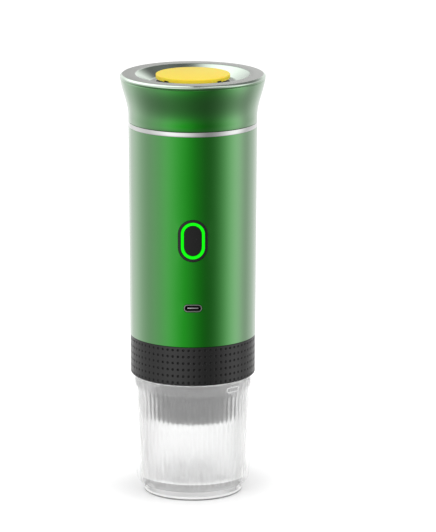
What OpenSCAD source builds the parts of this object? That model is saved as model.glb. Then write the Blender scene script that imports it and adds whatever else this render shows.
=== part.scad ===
// Portable capsule coffee maker: a battery machine that stands in its own clear cup.
// Millimetres, +Z up. The origin is on the table under the middle of the cup.
// The power button and the charging port face -Y.

/* [Stack] */
// Height of the cup, from the table to the seam under the grip ring
cup_h = 66.5; // [60:0.5:90]
// Height of the grip ring
grip_h = 22; // [20:0.5:30]
// Height of the green tube
body_h = 115.8; // [108:0.1:150]
// Height of the bright band under the lid
band_h = 2.5; // [2:0.1:5]
// Height of the lid above the band
lid_h = 26; // [24:0.5:36]

/* [Cup] */
// Outer radius of the cup at its mouth
cup_mouth_r = 34; // [32:0.1:36]
// Outer radius of the cup wall just above the rounded corner
cup_low_r = 31.3; // [30:0.1:34]
// Wall of the cup
cup_wall = 1.8; // [1.2:0.1:2.2]
// Radius of the rounded corner at the bottom of the wall
cup_corner_r = 4; // [3:0.5:8]
// Thickness of the base over the hollow foot
cup_base = 3.8; // [2:0.1:6]
// Outer radius of the foot
foot_r = 27; // [22:0.5:28]
// Height of the foot
foot_h = 4.9; // [3:0.1:8]
// Wall of the foot
foot_wall = 2.4; // [1.5:0.1:4]
// Length of the small moulded catch on the rim band
catch_l = 8.5; // [5:0.5:12]
// Angle of the catch from the front, towards +X
catch_angle = 41; // [0:1:90]
// Number of upright grooves that reed the wall
reed_count = 72; // [36:12:96]
// Depth of the grooves
reed_depth = 0.3; // [0.1:0.05:0.5]

/* [Capsule holder] */
// Outer radius of the grip ring
grip_r = 34.1; // [33.5:0.1:36]
// Wall of the grip ring
grip_wall = 1.8; // [1.2:0.1:2.5]
// Rounding of the grip ring's lower edge
grip_edge_r = 1; // [0.5:0.1:1.5]
// Rows of pits round the grip ring
pit_rows = 6; // [4:1:7]
// Pits in one row
pit_columns = 72; // [48:6:84]
// Width of a pit
pit_w = 1.4; // [1:0.1:2]
// Depth of a pit
pit_depth = 0.6; // [0.3:0.1:1]
// Outer radius of the snout that hangs in the cup
snout_r = 25; // [23.5:0.1:27]
// How far the snout reaches below the grip ring
snout_drop = 24.2; // [18:0.2:34]
// Height of the collar that fills the mouth of the cup
collar_h = 6.6; // [4:0.1:10]
// Wall of the snout
snout_wall = 1.7; // [1.2:0.1:2.5]
// Floor of the capsule chamber
chamber_floor = 2.2; // [1.5:0.1:4]
// Radius of the coffee outlet
outlet_r = 6; // [3:0.5:9]

/* [Body] */
// Outer radius of the tube at its lower edge
body_low_r = 34.3; // [33.8:0.1:37]
// Outer radius of the tube at its upper edge
body_top_r = 35; // [34.5:0.1:38]
// Wall of the tube
shell_wall = 1.4; // [1:0.1:1.8]

/* [Front panel] */
// Height of the button's centre above the lower edge of the tube
button_z = 59; // [40:0.5:62]
// Width of the black surround
bezel_w = 16; // [14:0.2:20]
// Height of the black surround
bezel_h = 23.2; // [20:0.2:26]
// Width of the black rim round the light ring
bezel_rim = 1.35; // [1:0.05:2]
// Width of the light ring
light_w = 1.75; // [1:0.05:2.5]
// Travel of the power button
button_travel = 0.8; // [0.4:0.1:1.2]
// Height of the charging port above the lower edge of the tube
port_z = 21.7; // [18:0.1:28]
// Width of the charging socket
socket_w = 8.94; // [7:0.02:10]
// Height of the charging socket
socket_h = 3.26; // [2.6:0.02:4]
// Width of the grey rim round the socket
port_rim = 0.4; // [0.3:0.05:1]

/* [Lid] */
// How far the lid flares beyond the tube
flare = 4.5; // [2:0.1:7]
// Wall of the lid
lid_wall = 1.6; // [1.2:0.1:2.2]
// Height of the polished bevel round the top
edge_h = 1.4; // [0.8:0.1:2.5]
// Inner radius of the flat rim
rim_in_r = 31; // [28:0.1:33]
// Radius of the dish floor
dish_floor_r = 23.4; // [21.5:0.1:26]
// Depth of the dish
dish_depth = 4.4; // [4.2:0.1:6]
// Thickness of the dish metal
dish_t = 1.2; // [0.8:0.1:1.6]
// Length of the plug that screws into the tank
plug_h = 11; // [8:0.5:16]

/* [Vent] */
// Radius of the yellow button
vent_r = 20.2; // [16:0.1:20.8]
// Thickness of the yellow button
vent_t = 2.2; // [1.6:0.1:2.4]
// Width of the notches under the edge of the yellow button
notch_w = 1.6; // [0.8:0.1:3]
// Travel of the yellow button
vent_travel = 1.6; // [0.8:0.1:1.7]
// Radius of the vent stem
stem_r = 2.5; // [2:0.1:3]
// Turns of the vent spring
spring_turns = 5; // [3:1:6]
// Wire of the vent spring
spring_wire = 0.8; // [0.6:0.1:1]

/* [Inside] */
// Radius of a battery cell
cell_r = 9.2; // [7:0.1:9.4]
// Length of a battery cell
cell_l = 65; // [60:0.5:70]
// Radius of the motor
motor_r = 10.5; // [8:0.1:11]
// Length of the motor
motor_l = 26; // [20:0.5:27]
// Height of the pump block
pump_h = 20; // [16:0.5:21]
// Module of the gears
gear_module = 0.5; // [0.4:0.05:0.6]
// Teeth of the motor pinion
pinion_teeth = 12; // [10:1:14]
// Teeth of the drive gear
gear_teeth = 30; // [24:1:34]
// Wall of the water tank
tank_wall = 1.6; // [1.2:0.1:2.4]
// Width of the circuit board
board_w = 32; // [24:0.5:34]

/* [Clearances] */
// Gap between parts that come apart
seam_gap = 0.2; // [0.1:0.05:0.4]
// Gap between parts that turn or slide past each other
slide_gap = 0.3; // [0.2:0.05:0.5]
// Gap between parts fitted into each other
fit_gap = 0.12; // [0.05:0.01:0.2]
// Radial gap of a running shaft
shaft_gap = 0.05; // [0.02:0.01:0.08]

/* [Hidden] */
$fn = 96;
// Steps along a quarter arc and along the lid's flare
arc_steps = 6;
flare_steps = 14;
// Overlap that makes neighbouring cuts and joined shapes meet
eps = 0.5;

// Levels of the stack
z_body = cup_h + grip_h;
z_shell_top = z_body + body_h;
z_band_top = z_shell_top + band_h;
z_lid = z_band_top + seam_gap;
z_top = z_band_top + lid_h;

// Cup
z_cup_rim = cup_h - seam_gap;
z_cup_floor = foot_h + cup_base;
z_inner_arc = z_cup_floor + cup_corner_r;
z_wall = foot_h + cup_corner_r;
foot_edge_r = 0.6;
catch_w = 2.4;
catch_proud = 0.35;
catch_drop = 4;
rim_band = 7.5;
cup_tilt = atan((cup_mouth_r - cup_low_r) / (z_cup_rim - z_wall));
reed_w = 2 * reed_depth;
reed_l = (z_cup_rim - rim_band - z_wall) / cos(cup_tilt);

// Capsule holder
holder_r = grip_r - grip_wall;
pit_pitch = (grip_h - seam_gap) / pit_rows;
z_holder_top = z_body - seam_gap;
z_collar = cup_h - collar_h;
collar_r = min(cup_r(z_collar), cup_mouth_r) - cup_wall - slide_gap;
z_snout = cup_h - snout_drop;
z_chamber = z_snout + chamber_floor;
chamber_r = snout_r - snout_wall;
holder_wall = 3;
socket_r = holder_r - holder_wall;
snout_edge = 1;
strainer_t = 1;
spike_h = 4;
spike_r = 1.6;
spike_ring_r = chamber_r * 0.55;
spike_count = 4;
drip_r = 0.9;
drip_ring_r = outlet_r * 0.62;
drip_count = 6;

// Brew head
spigot_r = socket_r - slide_gap;
spigot_h = 8;
z_spigot = z_body - spigot_h;
head_t = 5;
z_head_top = z_body + head_t;
head_r = least_bore(z_body, z_head_top) - fit_gap;
seal_w = 3.2;
seal_t = 2.4;
seal_proud = 0.8;
seal_out_r = spigot_r - 1;
seal_in_r = seal_out_r - seal_w;
flange_room = 1.2;
z_ledge = z_spigot - seal_proud - flange_room;
water_r = 0.9;
needle_r = 1.6;
needle_l = 8;
needle_tip = 2.5;
needle_seat = 3;
nipple_r = 1.6;
nipple_l = 4;
screw_r = 1.4;
screw_head_r = 2.6;
screw_head_h = 2;
screw_angle = 62;
head_screw_angles = [screw_angle, 180 - screw_angle, -screw_angle, screw_angle - 180];
screw_bite = 4;
boss_wall = 1.4;
screw_boss_r = screw_r + boss_wall;

// Tube and frame
frame_t = 3;
z_frame = z_head_top;
z_cells = z_frame + frame_t;
cell_room = 0.4;
z_frame_top = z_cells + cell_l + cell_room;
z_tank = z_frame_top + frame_t;
bore_r = least_bore(z_frame, z_tank);
frame_r = bore_r - fit_gap;
post_r = 2.2;
post_ring_r = frame_r - post_r - 1.2;
post_angles = [screw_angle, 180 - screw_angle];
rail_w = 3;
rail_d = 5;
cell_edge = 2.8;
cell_y = -3;
cell_x = sqrt(pow(bore_r - cell_edge - cell_r, 2) - cell_y * cell_y);
cell_nub_r = 3;
cell_nub_h = cell_room / 2;

// Pump, gears and motor
inner_gap = 0.8;
pump_w = 2 * (cell_x - cell_r - inner_gap);
pump_lift = 5.5;
z_pump = z_cells + pump_lift;
z_pump_top = z_pump + pump_h;
motor_y = 14;
gear_distance = gear_module * (gear_teeth + pinion_teeth) / 2;
gear_y = motor_y - gear_distance;
gear_t = 6;
gear_lift = 1.5;
z_gear = z_pump_top + gear_lift;
z_plate = z_gear + gear_t + gear_lift;
plate_t = 2.5;
z_motor = z_plate + plate_t;
gear_shaft_r = 2;
shaft_depth = 6;
pinion_shaft_r = 1;
leg_r = 2.5;
leg_x = pump_w / 2 - leg_r - fit_gap;
gear_tip_r = gear_module * (gear_teeth / 2 + 1);
leg_front_y = gear_y - sqrt(pow(gear_tip_r + leg_r + inner_gap, 2) - leg_x * leg_x);
leg_back_y = motor_y + motor_r - leg_r;
pump_front_y = leg_front_y - leg_r - fit_gap;
pump_back_y = leg_back_y + leg_r + fit_gap;
plate_screw_l = 8;
plate_screw_r = 1;
plate_head_r = 1.9;

// Water path
hose_r = 2.6;
hose_in_r = nipple_r + fit_gap;
inlet_r = hose_r + inner_gap;
z_inlet = z_pump + 0.6 * pump_h;
hose_y = pump_front_y - inlet_r + inner_gap;
tank_floor = 2;
tank_top_r = bore_at(z_shell_top) - fit_gap;

// Board and front panel
board_t = 1.6;
board_depth = 9;
board_y = bore_r - board_depth;
chip_t = 1.2;
screw_seal_ring_r = seal_in_r - slide_gap - screw_head_r - inner_gap;
screw_board_ring_r = (board_y - board_t - chip_t - screw_boss_r) / sin(screw_angle);
head_screw_ring_r = min(screw_seal_ring_r, screw_board_ring_r);
switch_w = 6;
switch_t = 2.2;
switch_nub_r = 1.5;
switch_nub_h = 0.3;
z_button = z_body + button_z;
z_port = z_body + port_z;
bezel_proud = 0.35;
light_proud = 0.15;
button_proud = 0.5;
panel_r = tube_r(z_button);
port_r = tube_r(z_port);
tube_max_r = max(body_low_r, body_top_r);
cut_near = bore_r / 2;
cut_far = tube_max_r + 2 * eps;
light_out_w = bezel_w - 2 * bezel_rim;
light_out_h = bezel_h - 2 * bezel_rim;
light_in_w = light_out_w - 2 * light_w;
light_in_h = light_out_h - 2 * light_w;
light_depth = 3;
light_back = bore_at(z_button) - light_depth;
flange_t = 1;
flange_step = 0.9;
button_stem_r = 2;
switch_face = board_y + switch_t + switch_nub_h;
socket_wall = 0.3;
socket_depth = 6.2;
socket_proud = 0.7;
socket_front = bore_at(z_port) + socket_proud;
tongue_w = 6.6;
tongue_h = 0.7;
tongue_back = 1;
port_proud = 0.12;
port_back = 1;
port_w = socket_w + 2 * (port_rim + fit_gap);
port_h = socket_h + 2 * (port_rim + fit_gap);

// Lid and vent
z_edge = z_top - edge_h;
bevel = 1.1;
flare_start = 3;
flare_end = 0.45;
lid_bore_r = body_top_r - lid_wall;
liner_t = 2.2;
z_liner_top = z_lid + liner_t;
plug_r = least_bore(z_lid - plug_h, z_shell_top) - tank_wall - slide_gap - 2 * fit_gap;
plug_wall = 2;
boss_r = 6;
boss_h = 4;
z_boss = z_liner_top + boss_h;
z_vent_under = z_top - vent_t;
z_dish = min(z_top - dish_depth, z_vent_under - vent_travel - slide_gap);
hub_r = 5;
hub_drop = 3.5;
z_hub = z_dish - dish_t - hub_drop;
stem_grip = 3;
vent_edge_r = 0.6;
notch_h = 0.8;
notch_depth = 2;
notch_angles = [45, 135, 225, 315];
valve_r = 6.5;
valve_t = 2;
z_valve = z_lid - slide_gap - valve_t;
valve_stop = 1;
spring_r = hub_r - spring_wire;
spring_sides = 6;
spring_rings = 8;
spring_base = z_boss + fit_gap + spring_wire / 2;
spring_rise = z_hub - fit_gap - spring_wire / 2 - spring_base;
spring_gap = spring_rise / spring_turns - spring_wire;
echo(spring_gap = spring_gap);

// Outer radius of the cup's wall at a height
function cup_r(z) = cup_low_r + (cup_mouth_r - cup_low_r) * (z - z_wall) / (z_cup_rim - z_wall);

// Radius of the tube outside and inside at a height, and the least bore between two heights
function tube_r(z) = body_low_r + (body_top_r - body_low_r) * (z - z_body) / body_h;
function bore_at(z) = tube_r(z) - shell_wall;
function least_bore(z_low, z_high) = min(bore_at(z_low), bore_at(z_high));

// Quarter arc as points, from angle a to angle b round a centre
function arc(c, r, a, b) = [for (i = [0:arc_steps])
    let (t = a + (b - a) * i / arc_steps) c + r * [cos(t), sin(t)]];

// Radius of the lid at a share t of its flare: it leaves the tube straight and ends at a slope
function flare_share(t) = t * t * (3 - 2 * t) - flare_end * t * t * (1 - t);
function flare_z(t) = z_lid + flare_start + t * (z_edge - z_lid - flare_start);
function lid_outer(i) = let (t = i / flare_steps) [body_top_r + flare * flare_share(t), flare_z(t)];

// Outline of a gear with straight-flanked teeth
function gear_points(teeth) =
    let (pitch = 360 / teeth,
        root = gear_module * (teeth / 2 - 1.25),
        tip = gear_module * (teeth / 2 + 0.95))
    [for (i = [0:teeth - 1], k = [[root, -0.32], [tip, -0.11], [tip, 0.11], [root, 0.32]])
        k[0] * [cos(pitch * (i + k[1])), sin(pitch * (i + k[1]))]];

// Ring with a square section
module ring(r_out, r_in, h) {
    difference() {
        cylinder(r = r_out, h = h);
        translate([0, 0, -eps]) cylinder(r = r_in, h = h + 2 * eps);
    }
}

// Oval with straight sides and round ends
module oval(w, h) {
    d = min(w, h);
    square(w < h ? [w, h - w] : [w - h, h], center = true);
    for (s = [-1, 1]) translate([s * (w - d) / 2, s * (h - d) / 2]) circle(d = d);
}

// Oval block on the front, from one distance off the axis to another
module front_block(w, h, z, near, far) {
    translate([0, -near, z]) rotate([90, 0, 0]) linear_extrude(far - near) oval(w, h);
}

// Front block whose outer face follows the tube
module curved_block(w, h, z, near, face_r) {
    intersection() {
        front_block(w, h, z, near, face_r + eps);
        translate([0, 0, z - h]) cylinder(r = face_r, h = 2 * h);
    }
}

// Screw hanging from its head, pointing up
module screw_up(r, head_r, head_h, l) {
    cylinder(r = head_r, h = head_h);
    cylinder(r = r, h = l);
}

module cup() {
    color([0.9, 0.92, 0.92, 0.4]) {
        difference() {
            rotate_extrude() polygon(concat(
                [[0, foot_h]],
                arc([cup_low_r - cup_corner_r, z_wall], cup_corner_r, -90, 0),
                [[cup_mouth_r, z_cup_rim], [cup_mouth_r - cup_wall, z_cup_rim]],
                arc([cup_r(z_inner_arc) - cup_wall - cup_corner_r, z_inner_arc], cup_corner_r, 0, -90),
                [[0, z_cup_floor]]));
            cup_reeds();
        }
        rotate_extrude() polygon(concat(
            [[foot_r - foot_wall, 0]],
            arc([foot_r - foot_edge_r, foot_edge_r], foot_edge_r, -90, 0),
            [[foot_r, foot_h + eps], [foot_r - foot_wall, foot_h + eps]]));
        cup_catch();
    }
}

// Upright grooves between the rim band and the rounded corner, tilted with the wall
module cup_reeds() {
    for (i = [0:reed_count - 1]) rotate(360 * i / reed_count)
        translate([cup_low_r, 0, z_wall]) rotate([0, cup_tilt, 0]) rotate(45)
            cube([reed_w / sqrt(2), reed_w / sqrt(2), 2 * reed_l], center = true);
}

// Small lens-shaped catch on the rim band, where the cup is turned to lock
module cup_catch() {
    lens_r = (catch_l * catch_l / 4 + catch_w * catch_w / 4) / catch_w;
    band_r = cup_r(z_cup_rim - catch_drop);
    rotate(catch_angle) intersection() {
        translate([0, -band_r + cup_wall / 2, z_cup_rim - catch_drop]) rotate([90, 0, 0])
            linear_extrude(cup_wall) intersection() {
                translate([0, lens_r - catch_w / 2]) circle(r = lens_r);
                translate([0, catch_w / 2 - lens_r]) circle(r = lens_r);
            }
        translate([0, 0, z_cup_rim - 2 * catch_drop])
            cylinder(r = band_r + catch_proud, h = 2 * catch_drop);
    }
}

module capsule_holder() {
    color([0.56, 0.56, 0.56]) rotate_extrude() polygon([
        [outlet_r, z_snout],
        [snout_r - snout_edge, z_snout],
        [snout_r, z_snout + snout_edge],
        [snout_r, z_collar],
        [collar_r, z_collar],
        [collar_r, cup_h],
        [holder_r, cup_h],
        [holder_r, z_holder_top],
        [socket_r, z_holder_top],
        [socket_r, z_ledge],
        [chamber_r, z_ledge],
        [chamber_r, z_chamber],
        [outlet_r, z_chamber]]);
}

module grip_ring() {
    color([0.2, 0.2, 0.2]) difference() {
        rotate_extrude() polygon(concat(
            [[holder_r, cup_h]],
            arc([grip_r - grip_edge_r, cup_h + grip_edge_r], grip_edge_r, -90, 0),
            [[grip_r, z_holder_top], [holder_r, z_holder_top]]));
        for (row = [0.5:1:pit_rows]) translate([0, 0, cup_h + row * pit_pitch - pit_w / 2])
            linear_extrude(pit_w) pit_row();
    }
}

// One row of pits as squares that reach in from outside the ring
module pit_row() {
    for (i = [0:pit_columns - 1]) rotate(360 * i / pit_columns) translate([grip_r - pit_depth, -pit_w / 2])
        square([pit_depth + eps, pit_w]);
}

module strainer_plate() {
    color("silver") translate([0, 0, z_chamber]) {
        difference() {
            cylinder(r = chamber_r - fit_gap, h = strainer_t);
            for (i = [0:drip_count - 1]) rotate(360 * i / drip_count)
                translate([drip_ring_r, 0, -eps]) cylinder(r = drip_r, h = strainer_t + 2 * eps);
        }
        for (i = [0:spike_count - 1]) rotate(360 * (i + 0.5) / spike_count)
            translate([spike_ring_r, 0, strainer_t]) cylinder(r1 = spike_r, r2 = spike_r / 8, h = spike_h);
    }
}

module brew_seal() {
    color([0.85, 0.85, 0.82]) translate([0, 0, z_spigot - seal_proud]) ring(seal_out_r, seal_in_r, seal_t);
}

module brew_head() {
    groove_top = z_spigot - seal_proud + seal_t + slide_gap;
    color([0.3, 0.3, 0.31]) difference() {
        rotate_extrude() polygon([
            [needle_r + shaft_gap, z_spigot],
            [seal_in_r - slide_gap, z_spigot],
            [seal_in_r - slide_gap, groove_top],
            [seal_out_r + slide_gap, groove_top],
            [seal_out_r + slide_gap, z_spigot],
            [spigot_r, z_spigot],
            [spigot_r, z_body],
            [head_r, z_body],
            [head_r, z_head_top],
            [nipple_r, z_head_top],
            [nipple_r, z_head_top + nipple_l],
            [water_r, z_head_top + nipple_l],
            [water_r, z_spigot + needle_seat],
            [needle_r + shaft_gap, z_spigot + needle_seat]]);
        at_head_screws() {
            translate([0, 0, z_spigot - eps]) cylinder(r = screw_head_r + fit_gap, h = screw_head_h + eps);
            translate([0, 0, z_spigot]) cylinder(r = screw_r + fit_gap, h = z_head_top - z_spigot + eps);
        }
    }
}

// Places of the screws that hold the brew head to the frame
module at_head_screws() {
    for (a = head_screw_angles) rotate(a) translate([head_screw_ring_r, 0, 0]) children();
}

module pierce_needle() {
    color("gainsboro") difference() {
        translate([0, 0, z_spigot - needle_l]) {
            cylinder(r1 = needle_r / 4, r2 = needle_r, h = needle_tip);
            translate([0, 0, needle_tip]) cylinder(r = needle_r, h = needle_l + needle_seat - needle_tip);
        }
        translate([0, 0, z_spigot - needle_l + needle_tip])
            cylinder(r = water_r, h = needle_l + needle_seat);
        translate([0, needle_r, z_spigot - needle_l + 2 * needle_tip]) rotate([90, 0, 0])
            cylinder(r = water_r / 2, h = 2 * needle_r);
    }
}

module head_screws() {
    color("dimgray") at_head_screws() translate([0, 0, z_spigot])
        screw_up(screw_r, screw_head_r, screw_head_h, z_cells + screw_bite - z_spigot);
}

module body_shell() {
    color([0.1, 0.44, 0.11]) difference() {
        rotate_extrude() polygon([
            [bore_at(z_body), z_body], [body_low_r, z_body],
            [body_top_r, z_shell_top], [bore_at(z_shell_top), z_shell_top]]);
        front_block(bezel_w + 2 * fit_gap, bezel_h + 2 * fit_gap, z_button, cut_near, cut_far);
        front_block(port_w + 2 * fit_gap, port_h + 2 * fit_gap, z_port, cut_near, cut_far);
    }
}

module inner_frame() {
    color([0.25, 0.26, 0.28]) difference() {
        union() {
            translate([0, 0, z_frame]) cylinder(r = frame_r, h = frame_t);
            translate([0, 0, z_frame_top]) cylinder(r = frame_r, h = frame_t);
            for (a = post_angles) rotate(a) translate([post_ring_r, 0, z_frame])
                cylinder(r = post_r, h = z_tank - z_frame);
            for (s = [-1, 1])
                translate([s * board_w / 2 - rail_w / 2, -board_y + board_t / 2 - rail_d / 2, z_frame])
                    cube([rail_w, rail_d, z_tank - z_frame]);
            for (y = [pump_front_y, pump_back_y - leg_r])
                translate([-pump_w / 4, y, z_frame]) cube([pump_w / 2, leg_r, z_pump - z_frame]);
            at_head_screws() translate([0, 0, z_frame])
                cylinder(r = screw_boss_r, h = frame_t + screw_bite + eps);
        }
        translate([0, 0, z_frame - eps]) cylinder(r = hose_r + inner_gap, h = frame_t + 2 * eps);
        translate([0, hose_y, z_frame_top - eps]) cylinder(r = hose_r + inner_gap, h = frame_t + 2 * eps);
        at_head_screws() translate([0, 0, z_frame - eps])
            cylinder(r = screw_r + shaft_gap, h = frame_t + screw_bite + 3 * eps);
        translate([-board_w / 2 - fit_gap, -board_y - fit_gap, z_cells])
            cube([board_w + 2 * fit_gap, board_t + 2 * fit_gap, z_frame_top - z_cells]);
    }
}

module water_tank() {
    color([0.75, 0.77, 0.78]) difference() {
        union() {
            rotate_extrude() polygon([
                [0, z_tank],
                [bore_at(z_tank) - fit_gap, z_tank],
                [tank_top_r, z_shell_top],
                [tank_top_r - tank_wall, z_shell_top],
                [bore_at(z_tank + tank_floor) - fit_gap - tank_wall, z_tank + tank_floor],
                [0, z_tank + tank_floor]]);
            translate([0, hose_y, z_tank - nipple_l - frame_t])
                cylinder(r = nipple_r, h = nipple_l + frame_t + eps);
        }
        translate([0, hose_y, z_tank - 2 * nipple_l]) cylinder(r = water_r, h = 3 * nipple_l);
    }
}

module inlet_hose() {
    color([0.9, 0.9, 0.88]) translate([0, hose_y, z_inlet + fit_gap])
        ring(hose_r, hose_in_r, z_tank - z_inlet - 2 * fit_gap);
}

module pump_block() {
    color([0.35, 0.36, 0.38]) difference() {
        union() {
            translate([-pump_w / 2, pump_front_y, z_pump])
                cube([pump_w, pump_back_y - pump_front_y, pump_h]);
            translate([0, hose_y, z_pump]) cylinder(r = inlet_r, h = z_inlet - z_pump);
            translate([0, hose_y, z_inlet - eps]) cylinder(r = nipple_r, h = nipple_l + eps);
            translate([0, 0, z_pump - nipple_l / 2]) cylinder(r = nipple_r, h = nipple_l);
        }
        translate([0, hose_y, z_inlet - nipple_l]) cylinder(r = water_r, h = 3 * nipple_l);
        translate([0, 0, z_pump - nipple_l]) cylinder(r = water_r, h = 2 * nipple_l);
        translate([0, gear_y, z_pump_top - shaft_depth])
            cylinder(r = gear_shaft_r + shaft_gap, h = shaft_depth + eps);
        for (s = [-1, 1]) translate([s * leg_x, leg_front_y, z_pump_top - plate_screw_l])
            cylinder(r = plate_screw_r + shaft_gap, h = plate_screw_l + eps);
    }
}

module outlet_hose() {
    color([0.9, 0.9, 0.88]) translate([0, 0, z_head_top + fit_gap])
        ring(hose_r, hose_in_r, z_pump - z_head_top - 2 * fit_gap);
}

module gear_plate() {
    color("silver") difference() {
        union() {
            translate([-pump_w / 2, pump_front_y, z_plate])
                cube([pump_w, pump_back_y - pump_front_y, plate_t]);
            for (s = [-1, 1], y = [leg_front_y, leg_back_y]) translate([s * leg_x, y, z_pump_top])
                cylinder(r = leg_r, h = z_plate - z_pump_top + eps);
        }
        translate([0, gear_y, z_plate - eps])
            cylinder(r = gear_shaft_r + shaft_gap, h = plate_t + 2 * eps);
        translate([0, motor_y, z_plate - eps])
            cylinder(r = pinion_shaft_r + slide_gap, h = plate_t + 2 * eps);
        for (s = [-1, 1]) translate([s * leg_x, leg_front_y, z_pump_top - eps])
            cylinder(r = plate_screw_r + fit_gap, h = z_motor - z_pump_top + 2 * eps);
    }
}

module plate_screws() {
    color("dimgray") for (s = [-1, 1]) translate([s * leg_x, leg_front_y, z_motor]) mirror([0, 0, 1])
        translate([0, 0, -screw_head_h]) {
            cylinder(r = plate_head_r, h = screw_head_h);
            cylinder(r = plate_screw_r, h = screw_head_h + z_motor - z_pump_top + plate_screw_l - 1);
        }
}

module motor() {
    rear_r = 3;
    rear_h = 1;
    color([0.62, 0.63, 0.65]) translate([0, motor_y, z_motor]) difference() {
        union() {
            cylinder(r = motor_r, h = motor_l);
            cylinder(r = rear_r, h = motor_l + rear_h);
        }
        translate([0, 0, -eps]) cylinder(r = pinion_shaft_r + shaft_gap, h = motor_l / 2);
    }
}

module motor_pinion() {
    color("goldenrod") translate([0, motor_y, z_gear]) {
        rotate(-90) linear_extrude(gear_t) polygon(gear_points(pinion_teeth));
        cylinder(r = pinion_shaft_r, h = z_motor - z_gear + motor_l / 4);
    }
}

module drive_gear() {
    color("ivory") translate([0, gear_y, 0]) {
        translate([0, 0, z_gear]) rotate(90 - 180 / gear_teeth)
            linear_extrude(gear_t) polygon(gear_points(gear_teeth));
        translate([0, 0, z_pump_top - shaft_depth + 1])
            cylinder(r = gear_shaft_r, h = z_plate + plate_t - z_pump_top + shaft_depth - 1);
    }
}

module battery_cells() {
    color([0.15, 0.35, 0.65]) for (s = [-1, 1]) translate([s * cell_x, cell_y, z_cells]) {
        cylinder(r = cell_r, h = cell_l);
        cylinder(r = cell_nub_r, h = cell_l + cell_nub_h);
    }
}

module circuit_board() {
    board_h = z_frame_top - z_cells - 2 * fit_gap;
    color([0.05, 0.3, 0.15]) {
        translate([-board_w / 2, -board_y, z_cells + fit_gap]) cube([board_w, board_t, board_h]);
        for (k = [[-9, 8, 7], [3, 14, 8], [-8, 32, 9]])
            translate([k[0], -board_y + board_t - eps, z_cells + k[1]]) cube([k[2], chip_t + eps, k[2]]);
    }
}

module tact_switch() {
    color("black") {
        translate([-switch_w / 2, -board_y - switch_t, z_button - switch_w / 2])
            cube([switch_w, switch_t, switch_w]);
        translate([0, -board_y, z_button]) rotate([90, 0, 0])
            cylinder(r = switch_nub_r, h = switch_t + switch_nub_h);
    }
}

module usb_socket() {
    color("silver") {
        difference() {
            front_block(socket_w, socket_h, z_port, board_y, socket_front);
            front_block(socket_w - 2 * socket_wall, socket_h - 2 * socket_wall, z_port,
                socket_front - socket_depth, socket_front + eps);
        }
        translate([-tongue_w / 2, -socket_front + tongue_back, z_port - tongue_h / 2])
            cube([tongue_w, socket_depth - tongue_back + eps, tongue_h]);
    }
}

module usb_bezel() {
    color([0.5, 0.52, 0.5]) difference() {
        curved_block(port_w, port_h, z_port, bore_at(z_port) - port_back, port_r + port_proud);
        front_block(socket_w + 2 * fit_gap, socket_h + 2 * fit_gap, z_port, cut_near, cut_far);
    }
}

module button_bezel() {
    color([0.08, 0.08, 0.08]) difference() {
        curved_block(bezel_w, bezel_h, z_button, board_y, panel_r + bezel_proud);
        front_block(light_out_w + 2 * fit_gap, light_out_h + 2 * fit_gap, z_button, cut_near, cut_far);
    }
}

module light_ring() {
    color([0.05, 0.95, 0.05]) difference() {
        curved_block(light_out_w, light_out_h, z_button, light_back, panel_r + light_proud);
        front_block(light_in_w, light_in_h, z_button, cut_near, cut_far);
    }
}

module power_button() {
    flange_front = light_back - fit_gap;
    stem_l = flange_front - switch_face - button_travel - fit_gap - flange_t / 2;
    color([0.13, 0.13, 0.13]) {
        curved_block(light_in_w - 2 * slide_gap, light_in_h - 2 * slide_gap, z_button,
            flange_front - flange_t, panel_r + button_proud);
        front_block(light_in_w + 2 * flange_step, light_in_h + 2 * flange_step, z_button,
            flange_front - flange_t, flange_front);
        translate([0, -switch_face - button_travel - fit_gap, z_button]) rotate([90, 0, 0])
            cylinder(r = button_stem_r, h = stem_l);
    }
}

module trim_ring() {
    color([0.88, 0.89, 0.88]) translate([0, 0, z_shell_top]) ring(body_top_r, bore_at(z_shell_top), band_h);
}

module lid_shell() {
    outer = [for (i = [0:flare_steps]) lid_outer(i)];
    inner = [for (i = [flare_steps:-1:0]) lid_outer(i) - [lid_wall, 0]];
    color([0.1, 0.42, 0.11]) rotate_extrude() polygon(concat(
        [[body_top_r, z_lid]], outer, inner, [[lid_bore_r, z_lid]]));
}

module lid_dish() {
    hub_hole_r = hub_r + slide_gap;
    color([0.72, 0.73, 0.72]) rotate_extrude() polygon([
        [body_top_r + flare, z_edge],
        [body_top_r + flare - bevel, z_top],
        [rim_in_r, z_top],
        [dish_floor_r, z_dish],
        [hub_hole_r, z_dish],
        [hub_hole_r, z_dish - dish_t],
        [dish_floor_r - dish_t / 2, z_dish - dish_t],
        [rim_in_r - dish_t / 2, z_edge]]);
}

module lid_liner() {
    color([0.16, 0.16, 0.17]) difference() {
        union() {
            translate([0, 0, z_lid]) cylinder(r = lid_bore_r - fit_gap, h = liner_t);
            translate([0, 0, z_lid - plug_h]) cylinder(r = plug_r, h = plug_h + eps);
            translate([0, 0, z_liner_top - eps]) cylinder(r = boss_r, h = boss_h + eps);
        }
        translate([0, 0, z_lid - plug_h - eps]) cylinder(r = plug_r - plug_wall, h = plug_h + eps);
        translate([0, 0, z_lid - eps]) cylinder(r = stem_r + slide_gap, h = liner_t + boss_h + 2 * eps);
    }
}

module lid_seal() {
    color([0.85, 0.85, 0.82]) translate([0, 0, z_shell_top + shaft_gap])
        ring(tank_top_r, tank_top_r - tank_wall, band_h - shaft_gap - fit_gap);
}

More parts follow.
